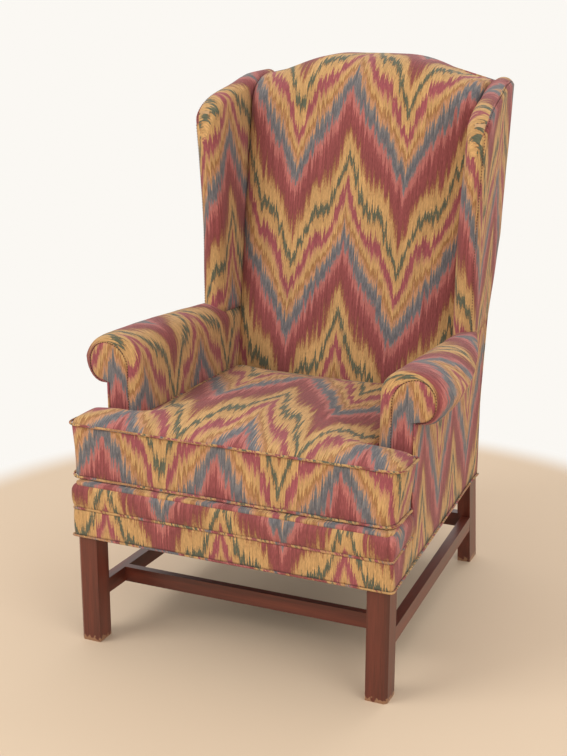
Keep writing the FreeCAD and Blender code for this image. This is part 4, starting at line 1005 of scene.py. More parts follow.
@dataclass
class SeatSurround:
    """Rail band, border, piping, platform cover and black dust cover of the seat."""

    finishes: Finishes
    front_shift: Pair = (-8.0, 530.0)
    piping_radius: float = 2.7
    hem_radius: float = 2.2
    corner: float = 9.0
    band_top: float = 57.4
    band_puff: float = 1.6
    border_bottom: float = 62.0
    border_puff: float = 5.0
    edge_roll: float = 19.0
    deck_front: float = -1.5
    deck_neck: float = 132.0
    deck_rear: float = 573.0
    deck_half: float = 260.0
    sheet_inset: float = 13.0
    sheet_drop: float = 4.0
    sheet_sag: float = 3.0
    sheet_squares: int = 16

    def side_stops(self, face: float, rear: float) -> list[Vector]:
        """The corners of a route from the right side's rear, across the front, to the left side's rear.

        Args:
            face: How far the route stands out from the rails.
            rear: How far back its ends lie.

        Returns:
            Its ends and corners, as places across and depths.
        """
        stops = [(LINES.half_width(rear) + face, rear)]
        if rear > LINES.post_face:
            stops.append((LINES.half_width(LINES.post_face) + face, LINES.post_face))
        stops.append((LINES.half_width(-face) + face, -face))
        return [Vector((x, behind, 0.0)) for x, behind in stops + [(-x, b) for x, b in reversed(stops)]]

    def route(self, face: float, rear: float, level: float, spacing: float = 8.0) -> list[Vector]:
        """Points along the seat's front and sides.

        Args:
            face: How far the route stands out from the rails.
            rear: How far back its ends lie.
            level: Its height over the hem.
            spacing: The longest step along it.

        Returns:
            The points, in metres.
        """
        stops = self.side_stops(face, rear)
        radii = [self.corner if abs(stop.y + face) < 0.01 else 20 * self.corner for stop in stops[1:-1]]
        flat = rounded_route(stops, radii, spacing)
        return [LINES.spot(p.x, p.y, LINES.over_hem(level, p.y)) for p in flat]

    def strip(self, name: str, low: float, high: float, thick: float, puff: float, seed: float,
              roll: float = 0.0) -> ClothSkin:
        """A padded strip round the front and both sides.

        Args:
            name: The piece's name.
            low: Its lower level over the hem.
            high: Its upper level.
            thick: How far it stands proud at its seams.
            puff: How much further it bulges between them.
            seed: Where its unevenness starts.
            roll: Radius with which its top rolls back over the seat's edge.

        Returns:
            The strip, ready to build.
        """
        stops = self.side_stops(0.0, LINES.arm_front - 2.0)
        flat = rounded_route(stops, [self.corner * 0.6] * (len(stops) - 2), 10.0)
        run = [0.0]
        for last, here in zip(flat, flat[1:]):
            run.append(run[-1] + (here - last).length)
        middle = run[-1] / 2
        shoulder = high - roll
        rises = 10
        heights = [low + (shoulder - low) * k / rises for k in range(rises + 1)]
        rows = []
        ups = []
        for i, here in enumerate(flat):
            along = (flat[min(i + 1, len(flat) - 1)] - flat[max(i - 1, 0)]).normalized()
            out = Vector((-along.y, along.x, 0.0))
            swell = []
            for z in heights:
                share = (z - low) / (high - low)
                share = min(share, 0.5) if roll else share
                pucker = 0.5 * noise.noise(Vector((run[i] / 34.0, z / 30.0, seed)))
                swell.append((thick + (puff + pucker) * (1 - abs(2 * share - 1) ** 2.6), z))
            edge = swell[-1][0]
            turns = [math.radians(15 * k) for k in range(1, 7)] if roll else []
            over = [(edge - roll * (1 - math.cos(a)), shoulder + roll * math.sin(a)) for a in turns]
            back = min(0.2, edge - roll)
            section = [(back, low)] + swell + over + [(back, high - 0.5), (back, low)]
            row = []
            for reach, z in section:
                spot = here + out * reach
                row.append(LINES.spot(spot.x, spot.y, LINES.over_hem(z, spot.y)))
            rows.append(row)
            ups.append([p.z / MM for p in row])
        return ClothSkin(name, rows, lambda r, c, q: (middle - run[r], ups[r][c]), self.front_shift, 0.0)

    def platform(self) -> bpy.types.Object:
        """The T-shaped cover of the deck, under the loose cushion.

        Returns:
            The finished piece.
        """
        near, neck, rear, half = self.deck_front, self.deck_neck, self.deck_rear, self.deck_half
        front_half, neck_half = LINES.half_width(near) - 0.5, LINES.half_width(neck) - 0.5
        corners = [(-front_half, near), (front_half, near), (neck_half, neck), (half, neck),
                   (half, rear), (-half, rear), (-half, neck), (-neck_half, neck)]
        radii = [12.0, 12.0, 6.0, 4.0, 6.0, 6.0, 4.0, 6.0]
        levels = ((LINES.deck - 8.0, 1.0), (LINES.deck - 2.0, 0.0), (LINES.deck + 1.0, 0.6),
                  (LINES.deck + 2.4, 3.5))
        rows = []
        for z, inset in levels:
            loop = rounded_loop(corners, radii, inset, 24.0)
            rows.append([LINES.spot(x, b, LINES.over_hem(z, b)) for x, b in loop + loop[:1]])
        return ClothSkin("deck_cloth", rows, lambda r, c, q: (rows[r][c].x / MM, rows[r][c].y / MM),
                         ruffle=0.0).build(self.finishes.cloth)

    def dust_sheet(self) -> bpy.types.Object:
        """Black cambric tacked under the rails, with a little sag.

        Returns:
            The finished piece.
        """
        near, far = LINES.leg + 1.0, LINES.post_face - 1.0
        bpy.ops.mesh.primitive_grid_add(x_subdivisions=self.sheet_squares, y_subdivisions=self.sheet_squares,
                                        size=2.0)
        sheet = bpy.context.active_object
        sheet.name = "dust_sheet"
        for vert in sheet.data.vertices:
            s, t = vert.co.x, (vert.co.y + 1) / 2
            behind = near + (far - near) * t
            sag = self.sheet_sag * (1 - s * s) * (1 - (2 * t - 1) ** 2)
            half = LINES.half_width(behind) - self.sheet_inset
            vert.co = LINES.spot(s * half, behind, LINES.over_hem(-self.sheet_drop - sag, behind))
        worked(sheet, "SOLIDIFY", thickness=0.0006)
        sheet.data.materials.append(self.finishes.cambric)
        settle(sheet, "root", ("dust_cover",))
        return sheet

    def build(self) -> None:
        """Make every piece of the surround and ride it on the chair."""
        cloth, welt = self.finishes.cloth, self.finishes.welt
        band = self.strip("rail_band_cloth", 0.0, self.band_top, LINES.band, self.band_puff,
                          3.0).build(cloth)
        border = self.strip("border_cloth", self.border_bottom, LINES.deck + 0.4, LINES.skin,
                            self.border_puff, 9.0, self.edge_roll).build(cloth)
        deck = self.platform()
        piping = tube("rail_piping", self.route(LINES.band - 0.6, LINES.arm_front - 2.0, LINES.rail_height),
                      self.piping_radius * MM, False, welt)
        hem = tube("hem_piping", self.route(LINES.band + self.hem_radius, LINES.depth, 0.0),
                   self.hem_radius * MM, False, welt, seed=5.0)
        for piece, slot, nodes in ((band, "cover_fabric", ("rail_band",)),
                                   (border, "cover_fabric", ("front_border", "deck_edge_roll")),
                                   (deck, "cover_fabric", ("deck_cover", "deck_pad")),
                                   (piping, "welt_fabric", ("rail_welt",)),
                                   (hem, "welt_fabric", ("hem_welt",))):
            settle(piece, "root", nodes)
        self.dust_sheet()


def settle(piece: bpy.types.Object, body: str, nodes: Sequence[str] = ()) -> None:
    """Ride a piece on its body and say what it is.

    Args:
        piece: The finished piece.
        body: The body it moves with.
        nodes: The nodes that it stands for.
    """
    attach(piece, body)
    if nodes:
        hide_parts(*nodes)
    LOG.info("%s: %d faces, on %s", piece.name, len(piece.data.polygons), body)


@dataclass
class TightBack:
    """The padded inside back with its rolled serpentine crest, and the plain outside back."""

    finishes: Finishes
    half: float = 266.0
    bottom: float = 347.0
    crest: float = 1162.0
    crest_drop: float = 48.0
    crest_flat: float = 60.0
    crest_roll: float = 85.0
    crest_edge: float = 12.0
    crown: float = 20.0
    face_lean: float = 0.168
    face_behind: float = 629.0
    face_height: float = 600.0
    shift: Pair = (-8.0, 1122.0)
    outside_top_half: float = 312.0
    outside_puff: float = 3.4
    places_across: int = 64

    def crest_top(self, x: float) -> float:
        """Height of the crest: flat in the middle, falling in an easy curve to the wings."""
        share = min(1.0, max(0.0, (abs(x) - self.crest_flat) / (self.half - self.crest_flat)))
        return self.crest - self.crest_drop * (1 - math.cos(math.pi * share ** 1.15)) / 2

    def face(self, z: float, x: float) -> float:
        """Depth of the crowned inside back, drawn in where it meets the wings.

        Args:
            z: The height.
            x: The place across.

        Returns:
            The depth there.
        """
        crown = self.crown * (1 - (min(abs(x), self.half) / self.half) ** 2)
        tuck = 11.0 * max(0.0, (abs(x) - self.half + 22.0) / 26.0) ** 2.2
        return self.face_behind + (z - self.face_height) * self.face_lean - crown + tuck

    def section(self, x: float) -> list[Pair]:
        """Outline of the back at one place across.

        Args:
            x: The place across.

        Returns:
            A closed outline of depths and heights, up the front from the bottom.
        """
        top = self.crest_top(x) - 5.0 * max(0.0, (abs(x) - self.half + 14.0) / 18.0) ** 2
        roll, edge = self.crest_roll, self.crest_edge
        start = self.face(top - roll, x)
        slant = roll * (1 - math.sqrt(0.5))
        rear_top = LINES.leaning(LINES.depth, top - edge)
        knee = (LINES.depth, LINES.bend_height)
        bottom = (self.face(self.bottom, x), self.bottom)
        return joined(
            line_points(bottom, (start, top - roll), 26),
            arc_points((start, top - roll), (start + slant, top - slant), (start + roll, top), 10),
            line_points((start + roll, top), (rear_top - edge, top), 3),
            arc_points((rear_top - edge, top), (rear_top - edge * 0.3, top - edge * 0.3),
                       (rear_top, top - edge), 4),
            line_points((rear_top, top - edge), knee, 12),
            line_points(knee, (LINES.depth, self.bottom), 2),
            line_points((LINES.depth, self.bottom), bottom, 4),
        )

    def inside(self) -> bpy.types.Object:
        """The inside back, from the deck over the crest roll.

        Returns:
            The finished piece.
        """
        half, count = self.half + 4.0, self.places_across
        places = [-half + 2 * half * i / count for i in range(count + 1)]
        outlines = [self.section(x) for x in places]
        runs = [lengths_along(outline) for outline in outlines]
        rows = [[LINES.spot(x, b, z) for b, z in outline] for x, outline in zip(places, outlines)]
        low = self.bottom
        skin = ClothSkin("inside_back_cloth", rows, lambda r, c, q: (places[r], low + runs[r][c]), self.shift,
                         1.1, 95.0)
        return skin.build(self.finishes.cloth)

    def outside(self) -> bpy.types.Object:
        """The plain outside back, from the hem to just under the crest.

        Returns:
            The finished piece.
        """
        low = LINES.over_hem(0.0, LINES.depth)
        foot_half, top_half = LINES.half_width(LINES.depth) + LINES.band, self.outside_top_half
        shoulder = self.crest_top(self.half) - self.crest_edge
        steps, rises = 44, 30
        outer = []
        inner = []
        for i in range(rises + 1):
            t = i / rises
            line = []
            back = []
            for j in range(steps + 1):
                s = 2 * j / steps - 1
                top = self.crest_top(s * self.half) - self.crest_edge
                z = low + (top - low) * t
                widen = min(1.0, max(0.0, (z - LINES.wing_bottom) / (shoulder - LINES.wing_bottom)))
                x = s * (foot_half + (top_half - foot_half) * widen)
                rim = min(1.0, (1 - abs(s)) * 14, t * 16 + 0.05, (1 - t) * 16 + 0.05)
                puff = self.outside_puff * math.sqrt(max(0.0, rim)) - 0.6
                line.append(LINES.spot(x, LINES.leaning(LINES.depth + puff, z), z))
                back.append(LINES.spot(x, LINES.leaning(LINES.depth - 1.0, z), z))
            outer.append(line)
            inner.append(back)
        rows = [front + back[::-1] + front[:1] for front, back in zip(outer, inner)]
        skin = ClothSkin("outside_back_cloth", rows, lambda r, c, q: (-rows[r][c].x / MM, rows[r][c].z / MM),
                         self.shift, 0.0)
        return skin.build(self.finishes.cloth)

    def build(self) -> None:
        """Make both covers of the back."""
        settle(self.inside(), "root", ("inside_back_cover", "back_pad"))
        settle(self.outside(), "root", ("outside_back_cover",))


@dataclass
class RolledArm:
    """One arm: padded inside and roll, stitched front panel, and plain outside panel."""

    finishes: Finishes
    side: Side
    bottom: float = 303.0
    inner: float = 262.0
    reach_front: float = 380.0
    reach_rear: float = 331.0
    outer_swell: float = 22.0
    front_sag: float = 7.0
    tail: float = 30.0
    top_front: float = 627.0
    top_rear: float = 602.0
    shoulder: float = 52.0
    edge: float = 15.0
    inner_round: float = 25.5
    outer_round: float = 4.0
    under_front: float = 526.0
    under_rear: float = 594.0
    roll_end: float = 560.0
    inner_puff: float = 2.5
    pleat: float = 1.3
    stations_back: int = 34
    panel_puff: float = 4.2
    panel_margin: float = 12.0
    panel_seam_points: int = 46
    stitch_pitch: float = 0.0058
    shift: Pair = (0.0, 0.0)
    panel_shift: Pair = (318.0, 560.0)
    outside_shift: Pair = (40.0, 520.0)

    def along(self, behind: float) -> float:
        """How far back along the arm a depth lies, from 0 to 1."""
        return min(1.0, max(0.0, (behind - LINES.arm_front) / (self.roll_end - LINES.arm_front)))

    def under(self, behind: float) -> float:
        """Height of the roll's underside."""
        return self.under_front + (self.under_rear - self.under_front) * self.along(behind) ** 1.9

    def section(self, behind: float, rounding: float) -> list[Pair]:
        """Outline of the arm at a depth, as places across and heights.

        Args:
            behind: The depth.
            rounding: 1 at the front panel's seam, 0 where the arm is full.

        Returns:
            A closed outline: up the inside, over the roll, under it and down.
        """
        share = self.along(behind)
        top = self.top_front + (self.top_rear - self.top_front) * share - rounding * self.edge
        inner = self.inner + rounding * self.inner_round
        reach = self.reach_front + (self.reach_rear - self.reach_front) * share ** 2.6
        reach += self.outer_swell * math.sin(math.pi * share ** 0.47) * (1 - rounding)
        reach -= self.tail * max(0.0, (behind - self.roll_end) / (LINES.post_face - self.roll_end))
        reach -= rounding * self.outer_round
        under = self.under(behind)
        waist = under + (top - under) * 0.48
        crown = inner + self.shoulder
        eighth = 1 - math.sqrt(0.5)
        tuck = (LINES.half_width(behind) + LINES.band / 2, under)
        rise = line_points((inner, self.bottom), (inner, top - self.shoulder), 16)
        swell = self.inner_puff * (1 - rounding)
        rise = [(x - swell * math.sin(math.pi * k / 16), z) for k, (x, z) in enumerate(rise)]
        over = arc_points((inner, top - self.shoulder),
                          (inner + self.shoulder * eighth, top - self.shoulder * eighth), (crown, top), 9)
        brow = arc_points((crown, top), (reach - (reach - crown) * eighth, top - (top - waist) * eighth),
                          (reach, waist), 11)
        low_cheek = (reach - (reach - tuck[0]) * 0.25, under + (waist - under) * 0.28)
        cheek = arc_points((reach, waist), low_cheek, tuck, 9)
        sag = self.front_sag * (1 - rounding) * math.exp(-share / 0.3)
        cheek = [(x, z - sag * math.sin(math.pi * k / 9)) for k, (x, z) in enumerate(cheek)]
        heel = (LINES.half_width(behind) - 1.0, self.bottom)
        return joined(rise, over, brow, cheek, line_points(tuck, heel, 6),
                      line_points(heel, (inner, self.bottom), 2))

    def outward(self, x: float, behind: float, z: float) -> Vector:
        """A point on this arm's side of the chair."""
        return LINES.spot(self.side.value * x, behind, z)

    def body(self) -> bpy.types.Object:
        """The padded arm, its front edge rolled over to the panel's seam.

        Returns:
            The finished piece.
        """
        stations = [(LINES.arm_front + 2.5, 1.06, -34.0)]
        for step in range(11):
            turn = math.radians(9 * step)
            behind = LINES.arm_front + self.edge * (1 - math.cos(turn))
            stations.append((behind, 1 - math.sin(turn), -30.0 + 3.0 * step))
        front = LINES.arm_front + self.edge
        steps = self.stations_back
        for step in range(1, steps + 1):
            behind = front + (LINES.post_face - front) * step / steps
            stations.append((behind, 0.0, behind - front))
        outlines = [self.section(behind, rounding) for behind, rounding, _ in stations]
        runs = [lengths_along(outline) for outline in outlines]
        rows = []
        for (behind, rounding, _), outline in zip(stations, outlines):
            row = []
            for k, (x, z) in enumerate(outline):
                pull = rounding * (1 - rounding) * 4
                wander = 2.2 * noise.noise(Vector((x / 20, z / 20, 0)))
                pleat = self.pleat * pull * math.sin(runs[0][k] / 9.0 + wander)
                row.append(self.outward(x, behind - pleat * 0.6, z + pleat * 0.35))
            rows.append(row)
        low = self.bottom
        skin = ClothSkin(f"arm_cloth_{self.side.word}", rows,
                         lambda r, c, q: (stations[r][2] + front, low + runs[r][c]), self.shift, 1.6, 55.0,
                         self.side.value * 7.0)
        return skin.build(self.finishes.cloth)

    def panel_edge(self) -> list[Pair]:
        """The seam round the front panel, from the inside up over the roll to its underside."""
        return self.section(LINES.arm_front, 1.0)[:self.panel_seam_points]

    def front_panel(self) -> bpy.types.Object:
        """The flat panel on the arm's front, lightly padded inside its seam.

        Returns:
            The finished piece.
        """
        edge = self.panel_edge()
        peak = max(range(len(edge)), key=lambda k: edge[k][1])
        up_side, down_side = edge[:peak + 1], edge[peak:]
        top = edge[peak][1]
        foot_x = LINES.half_width(LINES.arm_front)

        def crossing(points: Sequence[Pair], z: float) -> float:
            """Where an edge that only rises or only falls crosses a height.

            Args:
                points: The edge.
                z: The height.

            Returns:
                The place across.
            """
            for (x0, z0), (x1, z1) in zip(points, points[1:]):
                if (z0 - z) * (z1 - z) <= 0 and z0 != z1:
                    return x0 + (x1 - x0) * (z - z0) / (z1 - z0)
            return foot_x

        under = self.under(LINES.arm_front)
        low_steps, roll_steps = 12, 20
        levels = [self.bottom + (under - 0.2 - self.bottom) * k / low_steps for k in range(low_steps + 1)]
        levels += [under + (top - under) * math.sin(math.pi / 2 * k / roll_steps) for k in range(roll_steps)]
        levels.append(top - 0.05)
        spans = [(crossing(up_side, z), crossing(down_side, z) if z > under else foot_x) for z in levels]
        rows = []
        steps = 18
        for (x0, x1), z in zip(spans, levels):
            front = []
            rear = []
            for k in range(steps + 1):
                s = k / steps
                x = x0 + (x1 - x0) * s
                near = min(x - x0, x1 - x, (top - z) * 1.5, self.panel_margin)
                puff = self.panel_puff * math.sqrt(max(0.0, near) / self.panel_margin) - 1.8
                front.append(self.outward(x, LINES.arm_front - puff, z))
                rear.append(self.outward(x, LINES.arm_front + 3.0, z))
            rows.append(front + rear[::-1] + front[:1])
        sign = self.side.value
        skin = ClothSkin(f"arm_front_cloth_{self.side.word}", rows,
                         lambda r, c, q: (sign * rows[r][c].x / MM, rows[r][c].z / MM),
                         self.panel_shift, 0.5, 40.0)
        return skin.build(self.finishes.cloth)

    def seam(self) -> bpy.types.Object:
        """Hand stitches round the front panel.

        Returns:
            The finished piece.
        """
        route = [self.outward(x, LINES.arm_front - 0.1, z)
                 for x, z in self.panel_edge() if z > self.bottom + 120]
        return stitches(f"arm_front_stitches_{self.side.word}", route, self.stitch_pitch,
                        self.finishes.thread)

    def outside_panel(self) -> bpy.types.Object:
        """The outside panel, from the hem up under the roll and back to the post.

        Returns:
            The finished piece.
        """
        steps, rises = 40, 24
        start = LINES.arm_front - 2.0
        rows = []
        for i in range(steps + 1):
            s = i / steps
            base = start + (LINES.depth - 1.5 - start) * s
            low = LINES.over_hem(0.0, base)
            top = self.under(base) if base < self.roll_end else self.under_rear
            face = []
            back = []
            for j in range(rises + 1):
                t = j / rises
                z = low + (top - low) * t
                behind = base + s * max(0.0, z - LINES.bend_height) * LINES.lean
                rim = min(1.0, s * 34 + 0.02, (1 - s) * 34 + 0.02, t * 16 + 0.02, (1 - t) * 14 + 0.02)
                puff = (LINES.band - 0.8) * (1 - 0.7 * s * t ** 4) + 1.8 * math.sqrt(rim)
                face.append(self.outward(LINES.half_width(base) + puff, behind, z))
                back.append(self.outward(LINES.half_width(base) + 0.2, behind, z))
            rows.append(face + back[::-1] + face[:1])
        skin = ClothSkin(f"arm_outside_cloth_{self.side.word}", rows,
                         lambda r, c, q: (rows[r][c].y / MM, rows[r][c].z / MM),
                         self.outside_shift, 0.7, 70.0)
        return skin.build(self.finishes.cloth)

    def build(self) -> None:
        """Make every piece of the arm."""
        word = self.side.word
        settle(self.body(), "root", (f"inside_arm_cover_{word}", f"arm_pad_{word}"))
        settle(self.front_panel(), "root", (f"arm_front_panel_{word}",))
        settle(self.outside_panel(), "root", (f"outside_arm_cover_{word}",))
        settle(self.seam(), "root")


@dataclass
class Wing:
    """One wing: a rounded nose, a flaring top and a seam down its outer side."""

    finishes: Finishes
    side: Side
    half: float = 25.0
    nose_round: float = 32.0
    top: float = 1118.0
    waist: float = 775.0
    nose_centre: float = 302.0
    nose_top_centre: float = 321.0
    rear_centre: float = 288.0
    seam_out: float = 18.0
    top_line: tuple[Pair, ...] = ((0, 148), (1, 133), (5, 110), (12, 90), (22, 73), (41, 57), (86, 38),
                                  (163, 21), (232, 4), (330, 0))
    shoulder_share: float = 0.62
    seam_column: int = 38
    stitch_pitch: float = 0.0064
    shift: Pair = (0.0, 0.0)
    bottom: float = 584.0

    @property
    def whole(self) -> float:
        """How far the wing's top runs back from its nose."""
        return LINES.leaning(LINES.depth, self.top) - LINES.wing_nose

    def half_at(self, back: float) -> float:
        """Half the wing's thickness at a distance behind its rounded nose."""
        return self.half * math.sqrt(1 - (1 - min(1.0, back / self.nose_round)) ** 2)

    def centre(self, share: float, z: float, top: float) -> float:
        """Middle of the wing across the chair.

        Args:
            share: The share of the wing's depth, from its nose.
            z: The height.
            top: The height at which the wing flares fully.

        Returns:
            The place across.
        """
        flush = LINES.half_width(LINES.depth) + LINES.band - self.half
        foot = self.nose_centre + (flush - self.nose_centre) * share
        waist = self.nose_centre + (self.rear_centre - self.nose_centre) * share
        high = self.nose_top_centre + (self.rear_centre - self.nose_top_centre) * share
        if z < self.waist:
            t = (z - LINES.wing_bottom) / (self.waist - LINES.wing_bottom)
            return foot + (waist - foot) * t
        t = max(0.0, (z - self.waist) / (top - self.waist))
        return waist + (high - waist) * t ** 1.25

    def depth_at(self, back: float, z: float) -> float:
        """The depth of a station at a height: upright at the nose, leaning at the rear."""
        here = LINES.leaning(LINES.depth + 0.5, z) - LINES.wing_nose
        return LINES.wing_nose + back / self.whole * here

    def station(self, back: float) -> list[tuple[float, float, float]]:
        """A closed upright loop, up the wing's inside and down its outside.

        Args:
            back: How far it stands behind the nose.

        Returns:
            Its points, as places across, depths and heights.
        """
        share = back / self.whole
        half = self.half_at(back)
        top = self.top - smooth_value(self.top_line, back)
        shoulder = top - half * self.shoulder_share
        rises = 30
        heights = [self.bottom + (shoulder - self.bottom) * k / rises for k in range(rises + 1)]
        high = self.centre(share, shoulder, self.top)
        crown = arc_points((high - half, shoulder), (high, top), (high + half, shoulder), 10)
        points = [(self.centre(share, z, self.top) - half, z) for z in heights]
        points += crown[1:]
        points += [(self.centre(share, z, self.top) + half, z) for z in reversed(heights[:-1])]
        points.append(points[0])
        return [(x, self.depth_at(back, z), z) for x, z in points]

    def stations(self) -> list[float]:
        """Where the loops stand behind the nose.

        Returns:
            Distances, rising.
        """
        turns = (5, 11, 18, 26, 34, 43, 52, 61, 70, 80, 90)
        steps = 18
        nose = [self.nose_round * (1 - math.cos(math.radians(turn))) for turn in turns]
        return nose + [self.nose_round + (self.whole - self.nose_round) * k / steps
                       for k in range(1, steps + 1)]

    def body(self) -> bpy.types.Object:
        """The padded wing.

        Returns:
            The finished piece.
        """
        backs = self.stations()
        loops = [self.station(back) for back in backs]
        sign = self.side.value
        rows = [[LINES.spot(sign * x, b, z) for x, b, z in loop] for loop in loops]
        runs = [lengths_along([(x, z) for x, _, z in loop]) for loop in loops]
        halves = [self.half_at(back) for back in backs]
        round_nose = lengths_along(list(zip(backs, halves)))

        def lay(row: int, column: int, quad: int) -> Pair:
            """The cloth runs over the top to the seam, and round the nose to the outer face.

            Args:
                row: The loop.
                column: The corner's place in it.
                quad: The place of the corner's face.

            Returns:
                The cloth's coordinates, in millimetres.
            """
            around = round_nose[row] + halves[0]
            if quad < self.seam_column:
                return around, self.bottom + runs[row][column]
            return -around, self.bottom + runs[row][-1] - runs[row][column]

        skin = ClothSkin(f"wing_cloth_{self.side.word}", rows, lay, self.shift, 1.0, 70.0, sign * 3.0)
        return skin.build(self.finishes.cloth)

    def seam(self) -> bpy.types.Object:
        """Hand stitches down the outer side behind the nose and along the top.

        Returns:
            The finished piece.
        """
        sign = self.side.value
        reach = self.seam_out / self.half
        back = self.nose_round * (1 - math.sqrt(1 - reach * reach))
        whole = self.whole
        route = []
        z = LINES.wing_bottom + 8.0
        top = self.top - smooth_value(self.top_line, back) - 8.0
        while z < top:
            x = self.centre(back / whole, z, self.top) + self.seam_out + 0.2
            route.append(LINES.spot(sign * x, self.depth_at(back, z) - 0.2, z))
            z += 12.0
        steps = 24
        for step in range(steps + 1):
            here = back + 3.0 + (whole - back - 6.0) * (step / steps) ** 1.6
            half = self.half_at(here)
            peak = self.top - smooth_value(self.top_line, here)
            sag = half * self.shoulder_share
            radius = (half * half + sag * sag) / (2 * sag)
            out = half * 0.8
            z = peak - radius + math.sqrt(radius * radius - out * out)
            x = self.centre(here / whole, peak - sag, self.top) + out
            route.append(LINES.spot(sign * (x + 0.2), self.depth_at(here, z), z + 0.3))
        return stitches(f"wing_stitches_{self.side.word}", route, self.stitch_pitch, self.finishes.thread)

    def build(self) -> None:
        """Make the wing and its seam."""
        word = self.side.word
        settle(self.body(), "root",
               (f"inside_wing_cover_{word}", f"outside_wing_cover_{word}", f"wing_pad_{word}"))
        settle(self.seam(), "root")


@dataclass
class LooseCushion:
    """The T-shaped seat cushion: welted boxing, crowned top, zip at the rear.

    The voxel, the filling's cap and the sizes of the zip's tape and teeth are in metres.
    """

    finishes: Finishes
    base: float = 354.1
    lower_welt: float = 362.1
    upper_welt: float = 466.1
    ear: float = 352.0
    neck: float = 256.0
    front: float = 18.0
    rear: float = 566.0
    ear_rear: float = 127.5
    radii: tuple[float, ...] = (26.0, 26.0, 18.0, 8.0, 26.0, 26.0, 8.0, 18.0)
    shift_x: float = -4.0
    crown: float = 29.0
    crown_rise: float = 23.0
    crown_depth: float = 30.0
    bulge: float = 5.0
    base_inset: float = 16.0
    welt_radius: float = 2.7
    welt_inset: float = 2.4
    welt_sway: float = 1.1
    voxel: float = 0.006
    held_reach: float = 5.0
    filling_steps: int = 20
    pressure: float = 4.0
    puff_cap: float = 0.015
    top_spread: float = 6.0
    left_spread: float = 11.0
    front_droop: float = 5.0
    ease: float = 6.0
    neck_room: float = 2.5
    ear_room: float = 9.0
    front_room: float = 11.0
    groove: float = 2.2
    boxing_shift: Pair = (-22.0, 462.0)
    top_shift: Pair = (12.0, 20.0)
    tape_size: tuple[float, float, float] = (0.3, 0.0011, 0.024)
    tooth_size: tuple[float, float, float] = (0.0016, 0.0007, 0.005)
    tooth_pitch: float = 0.0033
    teeth: int = 91
    first_tooth: float = -148.5

    def corners(self) -> list[Pair]:
        """The cushion's corners, anticlockwise from its left front.

        Returns:
            Places across and depths.
        """
        right = [(self.ear, self.front), (self.ear, self.ear_rear), (self.neck, self.ear_rear),
                 (self.neck, self.rear)]
        left = [(-x, behind) for x, behind in reversed(right)]
        return left[-1:] + right + left[:-1]

    def loop(self, inset: float, spacing: float = 14.0) -> list[Pair]:
        """The T-shaped outline, drawn in by an inset."""
        return rounded_loop(self.corners(), self.radii, inset, spacing)

    def laid(self) -> Matrix:
        """The move that lays a level cushion piece on the falling seat.

        Returns:
            The move.
        """
        pivot = Vector((0.0, LINES.front_y, self.base)) * MM
        tip = Matrix.Rotation(-math.atan(LINES.fall), 4, "X")
        shift = Matrix.Translation((self.shift_x * MM, 0, 0))
        return Matrix.Translation(pivot) @ tip @ Matrix.Translation(-pivot) @ shift

    def spread(self, piece: bpy.types.Object) -> None:
        """Lean the ears' ends outward and let the front's lower edge droop.

        Args:
            piece: The cushion or its welts, level. The part between the arms is left alone.
        """
        points = self.read(piece)
        middle = (self.lower_welt + self.upper_welt) / 2
        lean = np.clip((points[:, 2] / MM - middle) / (self.upper_welt - middle), -0.6, 1.0)
        ears = np.clip((np.abs(points[:, 0]) / MM - self.neck - 10.0) / 60.0, 0.0, 1.0)
        points[:, 0] += np.sign(points[:, 0]) * lean * ears * self.top_spread * MM
        points[:, 0] -= np.where(points[:, 0] < 0, ears * self.left_spread * MM, 0.0)
        behind = points[:, 1] / MM - LINES.front_y
        near_front = np.clip((70.0 - behind) / 50.0, 0.0, 1.0) ** 2 * np.clip(-lean / 0.6, 0.0, 1.0)
        points[:, 1] -= near_front * self.front_droop * MM
        points[:, 2] -= near_front * self.front_droop * MM
        self.write(piece, points)

    def block(self) -> bpy.types.Object:
        """The sewn cover before it is filled: a level block of the cushion's outline.

        Returns:
            The cover, with its cloth coordinates still to be laid.
        """
        levels = ((self.base, self.base_inset), (self.lower_welt, self.bulge), (self.upper_welt, self.bulge))
        rows = [[LINES.spot(x, b, z) for x, b in self.loop(inset)] for z, inset in levels]
        rows = [row + row[:1] for row in rows]
        skin = ClothSkin("seat_cushion_cloth", rows, lambda r, c, q: (0.0, 0.0), ruffle=0.0)
        return skin.build(self.finishes.cloth)

    def level(self, points: np.ndarray) -> np.ndarray:
        """Places across and depths of an array of points, in millimetres."""
        return points[:, :2] / MM - np.array([0.0, LINES.front_y])

    def edge_distance(self, places: np.ndarray, inset: float) -> np.ndarray:
        """How far level points lie from the outline, in millimetres.

        Args:
            places: Points as rows of x and depth, in millimetres.
            inset: How far the outline is drawn in.

        Returns:
            A distance for each point.
        """
        loop = np.array(self.loop(inset, 40.0))
        ends = np.roll(loop, -1, axis=0)
        best = np.full(len(places), FAR)
        for start, end in zip(loop, ends):
            along = end - start
            t = np.clip(((places - start) @ along) / max(TINY, along @ along), 0.0, 1.0)
            best = np.minimum(best, np.linalg.norm(places - (start + t[:, None] * along), axis=1))
        return best

    def crowned(self, cushion: bpy.types.Object) -> None:
        """Cut the cover into even small faces and raise its top into a soft crown.

        Args:
            cushion: The level cover.
        """
        pick(cushion)
        cushion.data.remesh_voxel_size = self.voxel
        bpy.ops.object.voxel_remesh()
        points = self.read(cushion)
        far = self.edge_distance(self.level(points), self.bulge)
        near_top = points[:, 2] / MM - self.upper_welt + self.crown_depth
        lift = np.clip(near_top / self.crown_depth, 0.0, 1.0)
        points[:, 2] += lift * self.crown * (1 - np.exp(-far / self.crown_rise)) * MM
        self.write(cushion, points)

    def read(self, obj: bpy.types.Object) -> np.ndarray:
        """An object's points as an array, in metres.

        Args:
            obj: The object.

        Returns:
            A row for each point.
        """
        flat = np.empty(len(obj.data.vertices) * 3)
        obj.data.vertices.foreach_get("co", flat)
        return flat.reshape(-1, 3)

